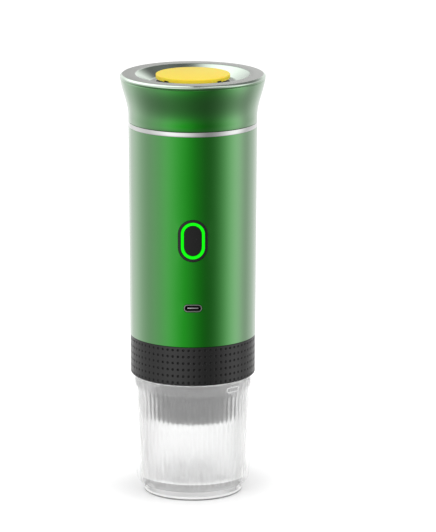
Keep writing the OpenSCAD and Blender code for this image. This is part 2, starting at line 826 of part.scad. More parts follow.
module vent_button() {
    color([0.99, 0.85, 0.3]) difference() {
        rotate_extrude() polygon(concat(
            [[0, z_top]],
            arc([vent_r - vent_edge_r, z_top - vent_edge_r], vent_edge_r, 90, 0),
            [[vent_r, z_vent_under + vent_edge_r / 2], [vent_r - vent_edge_r / 2, z_vent_under]],
            [[hub_r, z_vent_under], [hub_r, z_hub], [stem_r + shaft_gap, z_hub]],
            [[stem_r + shaft_gap, z_hub + stem_grip], [0, z_hub + stem_grip]]));
        for (a = notch_angles) rotate(a) translate([vent_r - notch_depth, -notch_w / 2, z_vent_under - eps])
            cube([notch_depth + eps, notch_w, notch_h + eps]);
    }
}

module vent_stem() {
    color("silver") {
        translate([0, 0, z_valve]) cylinder(r = stem_r, h = z_hub + stem_grip - z_valve);
        translate([0, 0, z_valve - valve_stop]) cylinder(r = stem_r + valve_stop, h = valve_stop);
    }
}

// One unbroken wire: rings of points along a helix, joined by triangles and closed at both ends
module vent_spring() {
    last = spring_turns * spring_rings;
    points = [for (i = [0:last], k = [0:spring_sides - 1])
        let (a = 360 * i / spring_rings, b = 360 * k / spring_sides,
            reach = spring_r + spring_wire / 2 * cos(b))
        [reach * cos(a), reach * sin(a), spring_base + spring_rise * i / last + spring_wire / 2 * sin(b)]];
    sides = [for (i = [0:last - 1], k = [0:spring_sides - 1])
        let (p = i * spring_sides + k, q = i * spring_sides + (k + 1) % spring_sides)
        each [[p, p + spring_sides, q], [q, p + spring_sides, q + spring_sides]]];
    caps = [for (k = [1:spring_sides - 2])
        each [[0, k, k + 1], [last * spring_sides, last * spring_sides + k + 1, last * spring_sides + k]]];
    color("gray") polyhedron(points, concat(sides, caps));
}

module vent_valve() {
    color([0.2, 0.2, 0.2]) translate([0, 0, z_valve]) ring(valve_r, stem_r + shaft_gap, valve_t);
}

cup();
capsule_holder();
grip_ring();
strainer_plate();
brew_seal();
brew_head();
pierce_needle();
head_screws();
body_shell();
inner_frame();
water_tank();
inlet_hose();
pump_block();
outlet_hose();
gear_plate();
plate_screws();
motor();
motor_pinion();
drive_gear();
battery_cells();
circuit_board();
tact_switch();
usb_socket();
usb_bezel();
button_bezel();
light_ring();
power_button();
trim_ring();
lid_shell();
lid_dish();
lid_liner();
lid_seal();
vent_button();
vent_stem();
vent_spring();
vent_valve();
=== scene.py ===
"""Portable capsule coffee maker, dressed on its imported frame: finer pieces, finishes, studio and camera."""
import logging
import math
from dataclasses import dataclass, field, replace
from enum import Enum
from typing import Callable, Iterable, Optional, Sequence

import bmesh
import bpy
from mathutils import Matrix, Vector


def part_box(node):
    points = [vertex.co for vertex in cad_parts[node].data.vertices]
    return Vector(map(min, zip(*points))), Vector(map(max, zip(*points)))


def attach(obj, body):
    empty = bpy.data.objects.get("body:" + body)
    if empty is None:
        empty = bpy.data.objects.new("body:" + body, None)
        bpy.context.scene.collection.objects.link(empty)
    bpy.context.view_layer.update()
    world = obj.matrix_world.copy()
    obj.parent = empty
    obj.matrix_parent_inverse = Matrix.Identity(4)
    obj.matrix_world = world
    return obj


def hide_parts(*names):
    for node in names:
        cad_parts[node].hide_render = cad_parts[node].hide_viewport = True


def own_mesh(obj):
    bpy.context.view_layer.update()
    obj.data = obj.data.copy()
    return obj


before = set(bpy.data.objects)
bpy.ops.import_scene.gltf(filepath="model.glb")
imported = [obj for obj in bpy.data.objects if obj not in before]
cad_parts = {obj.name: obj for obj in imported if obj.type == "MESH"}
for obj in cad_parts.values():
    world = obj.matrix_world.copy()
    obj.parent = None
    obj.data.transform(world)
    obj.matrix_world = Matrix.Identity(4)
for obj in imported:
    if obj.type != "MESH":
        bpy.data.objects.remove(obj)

LOG = logging.getLogger("coffee_maker")
MM = 0.001
RELIEF_DEPTH = 0.0002
SUBSURFACE_REACH = 0.002
COAT_ROUGHNESS = 0.1
FLATTEN = (1.0, 1.0, 0.0)
Colour = tuple[float, float, float]
Place = tuple[float, float, float]
Span = tuple[float, float]
Socket = bpy.types.NodeSocket
Feeds = dict[object, object]


def grey(level: float) -> Colour:
    """Give a neutral colour."""
    return level, level, level


def put(name: str, data: bpy.types.ID) -> bpy.types.Object:
    """Put a new object into the scene.

    Args:
        name: name of the object.
        data: its mesh, lamp or camera.

    Returns:
        The object.
    """
    made = bpy.data.objects.new(name, data)
    bpy.context.scene.collection.objects.link(made)
    return made


def from_axis(at: Vector) -> float:
    """Give a point's distance from the upright axis."""
    return math.hypot(at.x, at.y)


class Body(Enum):
    """Moving bodies of the frame."""

    CUP = "cup"
    HOLDER = "holder"
    BREW_SEAL = "brew_seal"
    MACHINE = "machine"
    BUTTON = "power_button"
    LID_SEAL = "lid_seal"
    LID = "lid"
    VENT = "vent"


class Grain(Enum):
    """Kinds of fine surface detail a finish can carry."""

    MOULDED = "moulded"
    TURNED = "turned"
    CAST = "cast"
    DRAWN = "drawn"


class NodeDesk:
    """Small helper that adds nodes to one tree and links them."""

    def __init__(self, tree: bpy.types.NodeTree) -> None:
        """Keep the tree to work on."""
        self.tree = tree

    @classmethod
    def fresh(cls, owner: bpy.types.ID) -> "NodeDesk":
        """Empty the node tree of a material or world.

        Args:
            owner: the material or world.

        Returns:
            A desk on its tree.
        """
        owner.use_nodes = True
        owner.node_tree.nodes.clear()
        return cls(owner.node_tree)

    def node(self, kind: str, feeds: Optional[Feeds] = None, **settings: object) -> bpy.types.Node:
        """Add a node, set its properties and feed its inputs.

        Args:
            kind: Blender's type name of the node.
            feeds: what to feed, by the name or number of an input.
            settings: properties to set on it.

        Returns:
            The new node.
        """
        made = self.tree.nodes.new(kind)
        for name, value in settings.items():
            setattr(made, name, value)
        self.feed(made, feeds or {})
        return made

    def feed(self, node: bpy.types.Node, feeds: Feeds) -> None:
        """Link inputs of a node to sockets, or set their values.

        Args:
            node: node to feed.
            feeds: sockets or plain values, by the name or number of an input.
        """
        for key, value in feeds.items():
            if isinstance(value, bpy.types.NodeSocket):
                self.tree.links.new(value, node.inputs[key])
            else:
                node.inputs[key].default_value = value

    def math(self, operation: str, *values: object, clamp: bool = False) -> Socket:
        """Add a Math node on sockets or numbers, and give its result."""
        return self.node("ShaderNodeMath", dict(enumerate(values)), operation=operation, use_clamp=clamp).outputs[0]

    def products(self, *pairs: tuple[object, object]) -> Socket:
        """Multiply the members of two pairs, and add the products."""
        return self.math("ADD", *(self.math("MULTIPLY", *pair) for pair in pairs))

    def vector(self, operation: str, *values: object) -> Socket:
        """Add a Vector Math node, and give its result: a number for a length, and a vector otherwise."""
        made = self.node("ShaderNodeVectorMath", dict(enumerate(values)), operation=operation)
        return made.outputs["Value" if operation == "LENGTH" else "Vector"]

    def mix(self, factor: object, low: object, high: object) -> Socket:
        """Mix two colours, of which a factor of 0 gives the first."""
        return self.node("ShaderNodeMix", {0: factor, 6: low, 7: high}, data_type="RGBA").outputs[2]

    def spread(self, value: Socket, levels: Span, reach: Span = (0.0, 1.0), kind: str = "LINEAR") -> Socket:
        """Map a value, which runs over a reach, to levels."""
        feeds = dict(enumerate((value, *reach, *levels)))
        return self.node("ShaderNodeMapRange", feeds, interpolation_type=kind).outputs[0]

    def noise(self, vector: Socket, scale: object, detail: float = 2.0, roughness: float = 0.5) -> Socket:
        """Add a noise texture, and give its 0 to 1 value."""
        feeds = {"Vector": vector, "Scale": scale, "Detail": detail, "Roughness": roughness}
        return self.node("ShaderNodeTexNoise", feeds).outputs[0]

    def grazing(self, normal: Socket, onset: float, rate: float) -> Socket:
        """Give a 0 to 1 value that grows at a rate towards grazing angles, from an onset on."""
        facing = self.node("ShaderNodeLayerWeight", {"Blend": 0.5, "Normal": normal}).outputs["Facing"]
        return self.math("MULTIPLY", self.math("SUBTRACT", facing, onset, clamp=True), rate, clamp=True)


class SurfaceGroups:
    """Shared shader node groups for fine surface detail, each built once."""

    BROAD_SCALE = 0.035
    FINE_SHARES = {"Tone": 0.4, "Gloss": 0.6}
    DRAWN_STRETCH = (1.0, 1.0, 0.02)

    def __init__(self) -> None:
        """Start with no groups."""
        self._made: dict[Grain, bpy.types.NodeTree] = {}

    def get(self, grain: Grain) -> bpy.types.NodeTree:
        """Give the group for a kind of grain.

        Args:
            grain: kind of surface detail.

        Returns:
            The node group, with inputs Vector and Scale and outputs Tone, Gloss and Height.
        """
        if grain not in self._made:
            self._made[grain] = self._build(grain)
        return self._made[grain]

    def _build(self, grain: Grain) -> bpy.types.NodeTree:
        """Make one group.

        Args:
            grain: kind of surface detail.

        Returns:
            The new node group.
        """
        tree = bpy.data.node_groups.new(f"{grain.value}_grain", "ShaderNodeTree")
        tree.interface.new_socket("Vector", in_out="INPUT", socket_type="NodeSocketVector")
        tree.interface.new_socket("Scale", in_out="INPUT", socket_type="NodeSocketFloat")
        for name in (*self.FINE_SHARES, "Height"):
            tree.interface.new_socket(name, in_out="OUTPUT", socket_type="NodeSocketFloat")
        desk = NodeDesk(tree)
        entry = desk.node("NodeGroupInput")
        vector, scale = entry.outputs["Vector"], entry.outputs["Scale"]
        fine = self._fine(desk, grain, vector, scale)
        broad = desk.noise(vector, desk.math("MULTIPLY", scale, self.BROAD_SCALE))
        results = {name: desk.products((fine, share), (broad, 1.0 - share)) for name, share in self.FINE_SHARES.items()}
        desk.node("NodeGroupOutput", {**results, "Height": fine})
        return tree

    def _fine(self, desk: NodeDesk, grain: Grain, vector: Socket, scale: Socket) -> Socket:
        """Make the fine pattern of a grain.

        Args:
            desk: helper on the group's tree.
            grain: kind of surface detail.
            vector: object coordinates.
            scale: pattern scale.

        Returns:
            The 0 to 1 pattern.
        """
        if grain is Grain.MOULDED:
            return desk.noise(vector, scale, 3.0, 0.6)
        if grain is Grain.CAST:
            cells = desk.node("ShaderNodeTexVoronoi", {"Vector": vector, "Scale": scale}, feature="SMOOTH_F1")
            return desk.math("MULTIPLY", cells.outputs["Distance"], 1.2, clamp=True)
        if grain is Grain.DRAWN:
            return desk.noise(desk.vector("MULTIPLY", vector, self.DRAWN_STRETCH), scale, 3.0, 0.7)
        reach = desk.vector("LENGTH", desk.vector("MULTIPLY", vector, FLATTEN))
        height = desk.node("ShaderNodeSeparateXYZ", {0: vector}).outputs[2]
        rings = desk.node("ShaderNodeCombineXYZ", {0: reach, 2: height})
        return desk.noise(rings.outputs[0], scale, 3.0, 0.7)


GROUPS = SurfaceGroups()


@dataclass(frozen=True)
class Finish:
    """One surface finish, made as a procedural material.

    The colour and the roughness wander between two values with the grain, and the grain gives the relief.
    """

    slot: str
    dark: Colour
    light: Colour
    rough: Span
    grain: Grain = Grain.MOULDED
    scale: float = 900.0
    relief: float = 0.05
    metallic: float = 0.0
    coat: float = 0.0
    ior: float = 1.5
    transmission: float = 0.0
    subsurface: float = 0.0
    glow: float = 0.0
    name: Optional[str] = None

    def material(self) -> bpy.types.Material:
        """Give the material of this finish, made on first use.

        Returns:
            The material.
        """
        title = f"finish_{self.name or self.slot}"
        known = bpy.data.materials.get(title)
        if known:
            return known
        made = bpy.data.materials.new(title)
        desk = NodeDesk.fresh(made)
        shader = desk.node("ShaderNodeBsdfPrincipled", {
            "Metallic": self.metallic, "IOR": self.ior, "Coat Weight": self.coat, "Coat Roughness": COAT_ROUGHNESS,
            "Transmission Weight": self.transmission, "Subsurface Weight": self.subsurface,
            "Subsurface Scale": SUBSURFACE_REACH})
        desk.node("ShaderNodeOutputMaterial", {"Surface": shader.outputs[0]})
        self.paint(desk, shader)
        return made

    def paint(self, desk: NodeDesk, shader: bpy.types.Node) -> None:
        """Link colour, roughness and relief.

        Args:
            desk: helper on the material's tree.
            shader: the Principled node.
        """
        where = desk.node("ShaderNodeTexCoord").outputs["Object"]
        group = desk.node("ShaderNodeGroup", {"Vector": where, "Scale": self.scale}, node_tree=GROUPS.get(self.grain))
        tone, gloss, height = group.outputs
        bump = desk.node("ShaderNodeBump", {"Strength": self.relief, "Distance": RELIEF_DEPTH, "Height": height})
        colour = self.tint(desk, desk.mix(tone, (*self.dark, 1.0), (*self.light, 1.0)))
        desk.feed(shader, {"Base Color": colour, "Roughness": desk.spread(gloss, self.rough),
                           "Normal": bump.outputs[0]})
        if self.glow:
            desk.feed(shader, {"Emission Color": colour, "Emission Strength": self.glow})

    def tint(self, desk: NodeDesk, tone: Socket) -> Socket:
        """Give the colour as it is."""
        return tone


@dataclass(frozen=True)
class PaintedSheenFinish(Finish):
    """Satin surface with a painted sheen: its colour whitens towards grazing angles.

    The normal that the angle is judged by is tipped upwards, so that the colour stays full where a wall is seen from
    above.
    """

    # colour, share and onset of the painted sheen, and the upward tip of the normal it is judged by
    edge: Colour = (0.86, 0.9, 0.86)
    whitening: float = 0.985
    onset: float = 0.032
    lift: float = 0.5

    def tint(self, desk: NodeDesk, tone: Socket) -> Socket:
        """Whiten the colour towards grazing angles, as a painted sheen.

        Args:
            desk: helper on the material's tree.
            tone: colour seen from straight ahead.

        Returns:
            The colour.
        """
        side = desk.node("ShaderNodeNewGeometry")
        tipped = desk.vector("NORMALIZE", desk.vector("ADD", side.outputs["Normal"], (0.0, 0.0, self.lift)))
        return desk.mix(desk.grazing(tipped, self.onset, self.whitening), tone, (*self.edge, 1.0))


@dataclass(frozen=True)
class ClearFinish(Finish):
    """Clear moulded plastic that shades the floor by a share and fades out towards its round edges."""

    shade: float = 1.0
    fade_from: float = 0.22
    fade_rate: float = 2.0
    fade_most: float = 0.94
    dim: float = 0.9

    def paint(self, desk: NodeDesk, shader: bpy.types.Node) -> None:
        """Link colour, roughness, relief, the light that passes to the shadow and the faded edges.

        Args:
            desk: helper on the material's tree.
            shader: the Principled node.
        """
        super().paint(desk, shader)
        path = desk.node("ShaderNodeLightPath")
        colour = shader.inputs["Base Color"].links[0].from_socket
        dimmed = desk.mix(path.outputs["Is Diffuse Ray"], colour, (*grey(self.dim), 1.0))
        passed = desk.math("MULTIPLY", path.outputs["Is Shadow Ray"], 1.0 - self.shade)
        fading = desk.grazing(self._outwards(desk), self.fade_from, self.fade_rate)
        unseen = desk.math("MAXIMUM", passed, desk.math("MINIMUM", fading, self.fade_most))
        desk.feed(shader, {"Base Color": dimmed, "Alpha": desk.math("SUBTRACT", 1.0, unseen)})

    def tint(self, desk: NodeDesk, tone: Socket) -> Socket:
        """Keep the colour to the outside of the wall."""
        side = desk.node("ShaderNodeNewGeometry")
        return desk.mix(side.outputs["Backfacing"], tone, (*grey(1.0), 1.0))

    def _outwards(self, desk: NodeDesk) -> Socket:
        """Give the direction away from the upright axis, which is the normal of the wall without its reeds.

        Args:
            desk: helper on the material's tree.

        Returns:
            The direction.
        """
        where = desk.node("ShaderNodeTexCoord").outputs["Object"]
        turned = desk.node("ShaderNodeVectorTransform", {0: desk.vector("MULTIPLY", where, FLATTEN)},
                           vector_type="NORMAL", convert_from="OBJECT", convert_to="WORLD")
        return turned.outputs[0]


# Green paint of the tube and lid, whitened towards grazing angles by a painted sheen that stands in for the reflection
# of the white surroundings.
GREEN = PaintedSheenFinish("green_metal", (0.0175, 0.305, 0.0175), (0.0225, 0.335, 0.0225), (0.15, 0.2), Grain.MOULDED,
                       2600.0, 0.015, 1.0)
LID_GREEN = replace(GREEN, whitening=0.88, lift=0.0, name="lid_green")
CLEAR = ClearFinish("clear_cup", (0.985, 0.99, 0.99), grey(1.0), (0.26, 0.34), Grain.MOULDED, 300.0, 0.02, ior=1.45,
                    transmission=1.0)
# Grey band on the outside of the cup's thick base: painted shade standing in for the darkness seen through the clear
# base.
BASE_BAND_SHADE = replace(CLEAR, dark=grey(0.38), light=grey(0.45), rough=(0.4, 0.5), dim=0.1, name="base_band_painted_shade")
CLEAR_FOOT = replace(CLEAR, dark=grey(0.96), dim=0.5, name="clear_foot")
# White strip above the foot's lower edge: a painted highlight.
FOOT_HIGHLIGHT = replace(CLEAR, dark=grey(0.97), rough=(0.3, 0.4), scale=900.0, transmission=0.0, fade_rate=0.0, dim=0.1,
                    name="foot_line")
# Dark strip on the foot's rounded lower edge: painted shade where the cup meets the floor.
FOOT_SHADE = replace(FOOT_HIGHLIGHT, dark=grey(0.2), light=grey(0.28), transmission=0.5, name="foot_edge")
# Pale outline of the cup's clear catch: a painted highlight on its moulded edges.
CATCH_HIGHLIGHT = replace(FOOT_HIGHLIGHT, dark=grey(0.86), light=grey(0.93), rough=(0.35, 0.5), relief=0.04, ior=1.4, shade=0.4,
                dim=0.9, name="catch_painted_highlight")
HOLDER_GREY = Finish("holder_grey", grey(0.32), grey(0.37), (0.42, 0.52), scale=1500.0, relief=0.06)
# Outside of the collar, whitened towards grazing angles by a painted sheen that stands in for the haze of the cup's rim
# band in front of it.
COLLAR_SHEEN = PaintedSheenFinish("holder_grey", grey(0.36), grey(0.41), (0.42, 0.52), scale=1500.0, relief=0.06,
                             edge=grey(0.97), whitening=2.0, onset=0.27, lift=0.0, name="collar_painted_sheen")
RUBBER = Finish("grip_rubber", grey(0.005), grey(0.008), (0.2, 0.28), scale=2200.0, relief=0.08, ior=1.56)
STEEL = Finish("steel", (0.55, 0.56, 0.56), (0.66, 0.67, 0.67), (0.22, 0.38), Grain.TURNED, 1800.0, 0.05, 1.0)
SOCKET_DARK = Finish("steel", grey(0.02), grey(0.03), (0.3, 0.42), Grain.MOULDED, 2400.0, 0.03, name="socket_dark")
SILICONE = Finish("seal_silicone", (0.68, 0.68, 0.65), (0.78, 0.78, 0.75), (0.45, 0.6), scale=1400.0, relief=0.05,
                  subsurface=0.25)
# Dark plastic; also used for painted shade on the dish floor under the vent button and inside the button's notches.
DARK_AND_SHADE = Finish("dark_plastic", (0.014, 0.014, 0.015), (0.02, 0.02, 0.021), (0.38, 0.5), scale=2600.0, relief=0.08)
BUTTON_BLACK = Finish("dark_plastic", grey(0.006), grey(0.009), (0.4, 0.5), scale=2600.0, relief=0.06, ior=1.36,
                      name="button_black")
FRAME_PLASTIC = Finish("frame_plastic", (0.1, 0.1, 0.11), (0.14, 0.14, 0.15), (0.45, 0.6), scale=1600.0, relief=0.1)
TANK = Finish("tank_plastic", (0.6, 0.62, 0.63), (0.66, 0.68, 0.69), (0.22, 0.32), relief=0.03, coat=0.2)
HOSE = Finish("hose_silicone", (0.74, 0.74, 0.72), (0.82, 0.82, 0.8), (0.35, 0.5), scale=1200.0, relief=0.04,
              subsurface=0.3)
PUMP = Finish("pump_metal", (0.26, 0.27, 0.29), (0.36, 0.37, 0.39), (0.42, 0.6), Grain.CAST, 2200.0, 0.25, 1.0)
MOTOR = Finish("motor_metal", (0.45, 0.46, 0.48), (0.56, 0.57, 0.59), (0.24, 0.4), Grain.DRAWN, 2400.0, 0.06, 1.0)
BRASS = Finish("pinion_brass", (0.66, 0.46, 0.15), (0.8, 0.6, 0.25), (0.2, 0.36), Grain.TURNED, 2600.0, 0.06, 1.0)
GEAR = Finish("gear_plastic", (0.8, 0.77, 0.66), (0.87, 0.84, 0.74), (0.4, 0.52), scale=1500.0)
SLEEVE = Finish("cell_sleeve", (0.04, 0.12, 0.4), (0.06, 0.17, 0.48), (0.18, 0.3), Grain.DRAWN, 900.0, 0.03, coat=0.3)
BOARD = Finish("board_green", (0.012, 0.1, 0.04), (0.03, 0.17, 0.08), (0.3, 0.48), Grain.DRAWN, 700.0, 0.05, coat=0.2)
BLACK = Finish("black_gloss", grey(0.008), grey(0.012), (0.16, 0.24), scale=1200.0, relief=0.02, ior=1.4)
PORT = Finish("port_metal", (0.34, 0.36, 0.34), (0.44, 0.46, 0.44), (0.25, 0.36), Grain.MOULDED, 3000.0, 0.04, 1.0)
LIGHT = Finish("light_green", (0.002, 0.62, 0.002), (0.004, 0.7, 0.004), (0.4, 0.5), scale=1400.0, relief=0.02,
               ior=1.15, glow=0.8)
BAND = Finish("polished_band", (0.86, 0.87, 0.86), (0.93, 0.94, 0.93), (0.1, 0.16), Grain.TURNED, 2400.0, 0.02, 1.0)
DISH = Finish("dish_steel", (0.62, 0.635, 0.605), (0.73, 0.745, 0.715), (0.3, 0.42), Grain.TURNED, 3000.0, 0.05, 1.0)
# Polished cone of the dish; its green tint is a painted reflection of the green lid.
DISH_POLISHED = replace(DISH, dark=(0.68, 0.8, 0.69), light=(0.76, 0.87, 0.77), rough=(0.1, 0.15), relief=0.02,
                        name="dish_polished")
YELLOW = Finish("vent_yellow", (0.96, 0.7, 0.03), (1.0, 0.755, 0.045), (0.36, 0.46), scale=1800.0, subsurface=0.3)


@dataclass(frozen=True)
class Corner:
    """One corner of a turned section, in millimetres, with the width of its bevel."""

    r: float
    z: float
    ease: float = 0.0
    segments: int = 3


class Shape:
    """A bmesh in millimetres that becomes one piece of the object."""

    NEAR = 1e-3
    DOUBLE = 1e-4
    INSET = 0.4

    def __init__(self) -> None:
        """Start with an empty mesh."""
        self.bm = bmesh.new()

    def turn(self, section: Sequence[Corner], steps: int, closed: bool = True) -> "Shape":
        """Spin a section about the axis and bevel its corners.

        Args:
            section: corners of the section, in order.
            steps: steps of the full turn.
            closed: join the last corner to the first.

        Returns:
            This shape.
        """
        start = [self.bm.verts.new((c.r, 0.0, c.z)) for c in section]
        pairs = list(zip(start, start[1:])) + ([(start[-1], start[0])] if closed else [])
        rim = [self.bm.edges.new(pair) for pair in pairs]
        bmesh.ops.spin(self.bm, geom=[*start, *rim], cent=(0, 0, 0), axis=(0, 0, 1), dvec=(0, 0, 0),
                       angle=math.tau, steps=steps, use_merge=True, use_duplicate=False)
        self.weld()
        for ease, segments in sorted({(c.ease, c.segments) for c in section if c.ease > 0}):
            places = [(c.r, c.z) for c in section if (c.ease, c.segments) == (ease, segments)]
            self.bevel(self.rings(places), ease, segments)
        return self

    def rings(self, places: Iterable[tuple[float, float]]) -> list[bmesh.types.BMEdge]:
        """Find the round edges that lie at given radii and heights.

        Args:
            places: radius and height of each ring.

        Returns:
            The edges.
        """
        found = []
        spots = list(places)
        for edge in self.bm.edges:
            ends = [(from_axis(v.co), v.co.z) for v in edge.verts]
            if any(all(abs(e[0] - r) < self.NEAR and abs(e[1] - z) < self.NEAR for e in ends) for r, z in spots):
                found.append(edge)
        return found

    def bevel(self, edges: Sequence[bmesh.types.BMEdge], width: float, segments: int = 3) -> "Shape":
        """Round edges over.

        Args:
            edges: edges to round.
            width: width of the bevel.
            segments: steps across it.

        Returns:
            This shape.
        """
        bmesh.ops.bevel(self.bm, geom=list(edges), offset=width, offset_type="OFFSET", affect="EDGES",
                        segments=segments, profile=0.5, material=-1, clamp_overlap=True)
        return self

    def weld(self) -> "Shape":
        """Merge doubles and turn the faces outwards.

        Returns:
            This shape.
        """
        bmesh.ops.remove_doubles(self.bm, verts=self.bm.verts[:], dist=self.DOUBLE)
        bmesh.ops.recalc_face_normals(self.bm, faces=self.bm.faces[:])
        return self

    def move(self, change: Callable[[Vector], Vector]) -> "Shape":
        """Move every vertex by a rule.

        Args:
            change: gives the new place for an old one.

        Returns:
            This shape.
        """
        for vert in self.bm.verts:
            vert.co = change(vert.co.copy())
        return self

    def shift(self, by: Sequence[float]) -> "Shape":
        """Move every vertex by the same distance."""
        return self.move(lambda at: at + Vector(by))

    def paint(self, index: int, chosen: Callable[[Vector, Vector], bool]) -> "Shape":
        """Give some faces another material slot.

        Args:
            index: material slot.
            chosen: tells by a face's centre and normal whether it is meant.

        Returns:
            This shape.
        """
        for face in self.bm.faces:
            if chosen(face.calc_center_median(), face.normal):
                face.material_index = index
        return self

    def oval(self, w: float, h: float, depth: float, ease: float, ring: float = 0.0, rounds: int = 0,
             segments: int = 64) -> "Shape":
        """Make an upright oval plate or ring that faces -Y, with its front at y = 0.

        Args:
            w: width.
            h: height.
            depth: thickness.
            ease: rounding of the front edges.
            ring: width of the ring, or 0 for a full plate.
            rounds: insets that divide a full plate's face.
            segments: corners round the oval.

        Returns:
            This shape.
        """
        d = min(w, h)
        made = bmesh.ops.create_circle(self.bm, cap_ends=True, radius=d / 2, segments=segments,
                                       matrix=Matrix.Rotation(math.pi / segments, 4, "Z"))
        loop = made["verts"]
        for vert in loop:
            x, z = vert.co.x, vert.co.y
            vert.co = Vector((x + math.copysign((w - d) / 2, x), 0.0, z + math.copysign((h - d) / 2, z)))
        face = next(f for f in self.bm.faces if f.verts[0] in loop)
        face.normal_update()
        sheet = [face]
        for step in ([ring] if ring else [d * self.INSET / rounds] * rounds):
            sheet += bmesh.ops.inset_individual(self.bm, faces=[face], thickness=step, depth=0.0,
                                                use_even_offset=True)["faces"]
        if ring:
            sheet.remove(face)
            bmesh.ops.delete(self.bm, geom=[face], context="FACES_ONLY")
        rim = [e for f in sheet for e in f.edges if sum(o in sheet for o in e.link_faces) == 1]
        pushed = bmesh.ops.extrude_face_region(self.bm, geom=sheet, use_keep_orig=True)["geom"]
        back = [g for g in pushed if isinstance(g, bmesh.types.BMVert)]
        bmesh.ops.translate(self.bm, vec=(0, depth, 0), verts=back)
        bmesh.ops.recalc_face_normals(self.bm, faces=self.bm.faces[:])
        if ease:
            self.bevel(list(dict.fromkeys(rim)), ease)
        return self

    def wrap(self, radius: float, z: float, flat_back: float = 0.0) -> "Shape":
        """Bend a front plate round the tube and put it at its height.

        Args:
            radius: distance of its face from the axis.
            z: height of its centre.
            flat_back: parts deeper than this keep flat, 0 bends all.

        Returns:
            This shape.
        """
        def bent(at: Vector) -> Vector:
            """Give the bent place of a point.

            Args:
                at: a point of the flat plate.

            Returns:
                Its place on the tube.
            """
            sag = radius - math.sqrt(radius * radius - at.x * at.x)
            keep = 1.0 if not flat_back else max(0.0, 1 - at.y / flat_back)
            return Vector((at.x, at.y + sag * keep - radius, at.z + z))

        return self.move(bent)

    def join(self, other: "Shape", index: int) -> "Shape":
        """Add another shape to this one under another material slot.

        Args:
            other: shape to add, which is used up.
            index: material slot of its faces.

        Returns:
            This shape.
        """
        for face in other.bm.faces:
            face.material_index = index
        spare = bpy.data.meshes.new("spare")
        other.bm.to_mesh(spare)
        other.bm.free()
        self.bm.from_mesh(spare)
        bpy.data.meshes.remove(spare)
        return self

    def finish(self, name: str, body: Body, finishes: Sequence[Finish], nodes: Sequence[str],
               smooth: float = 40.0) -> bpy.types.Object:
        """Make the piece, dress it and hang it on its body.

        Args:
            name: name of the piece.
            body: body that it rides on.
            finishes: its finishes, by material slot.
            nodes: CAD nodes that it replaces.
            smooth: edges under this angle are shaded smooth, in degrees.

        Returns:
            The object.
        """
        bmesh.ops.scale(self.bm, vec=(MM, MM, MM), verts=self.bm.verts[:])
        mesh = bpy.data.meshes.new(name)
        self.bm.to_mesh(mesh)
        self.bm.free()
        mesh.shade_smooth()
        mesh.set_sharp_from_angle(angle=math.radians(smooth))
        made = put(name, mesh)
        for finish in finishes:
            mesh.materials.append(finish.material())
        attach(made, body.value)
        if nodes:
            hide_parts(*nodes)
        LOG.info("%s: %d faces on %s", name, len(mesh.polygons), body.value)
        return made


def arc(centre: tuple[float, float], radius: float, start: float, end: float, steps: int) -> list[Corner]:
    """Give the corners of an arc in a section.

    Args:
        centre: radius and height of its centre.
        radius: radius of the arc.
        start: first angle in degrees.
        end: last angle in degrees.
        steps: steps along it.

    Returns:
        The corners.
    """
    turns = [math.radians(start + (end - start) * i / steps) for i in range(steps + 1)]
    return [Corner(centre[0] + radius * math.cos(t), centre[1] + radius * math.sin(t)) for t in turns]


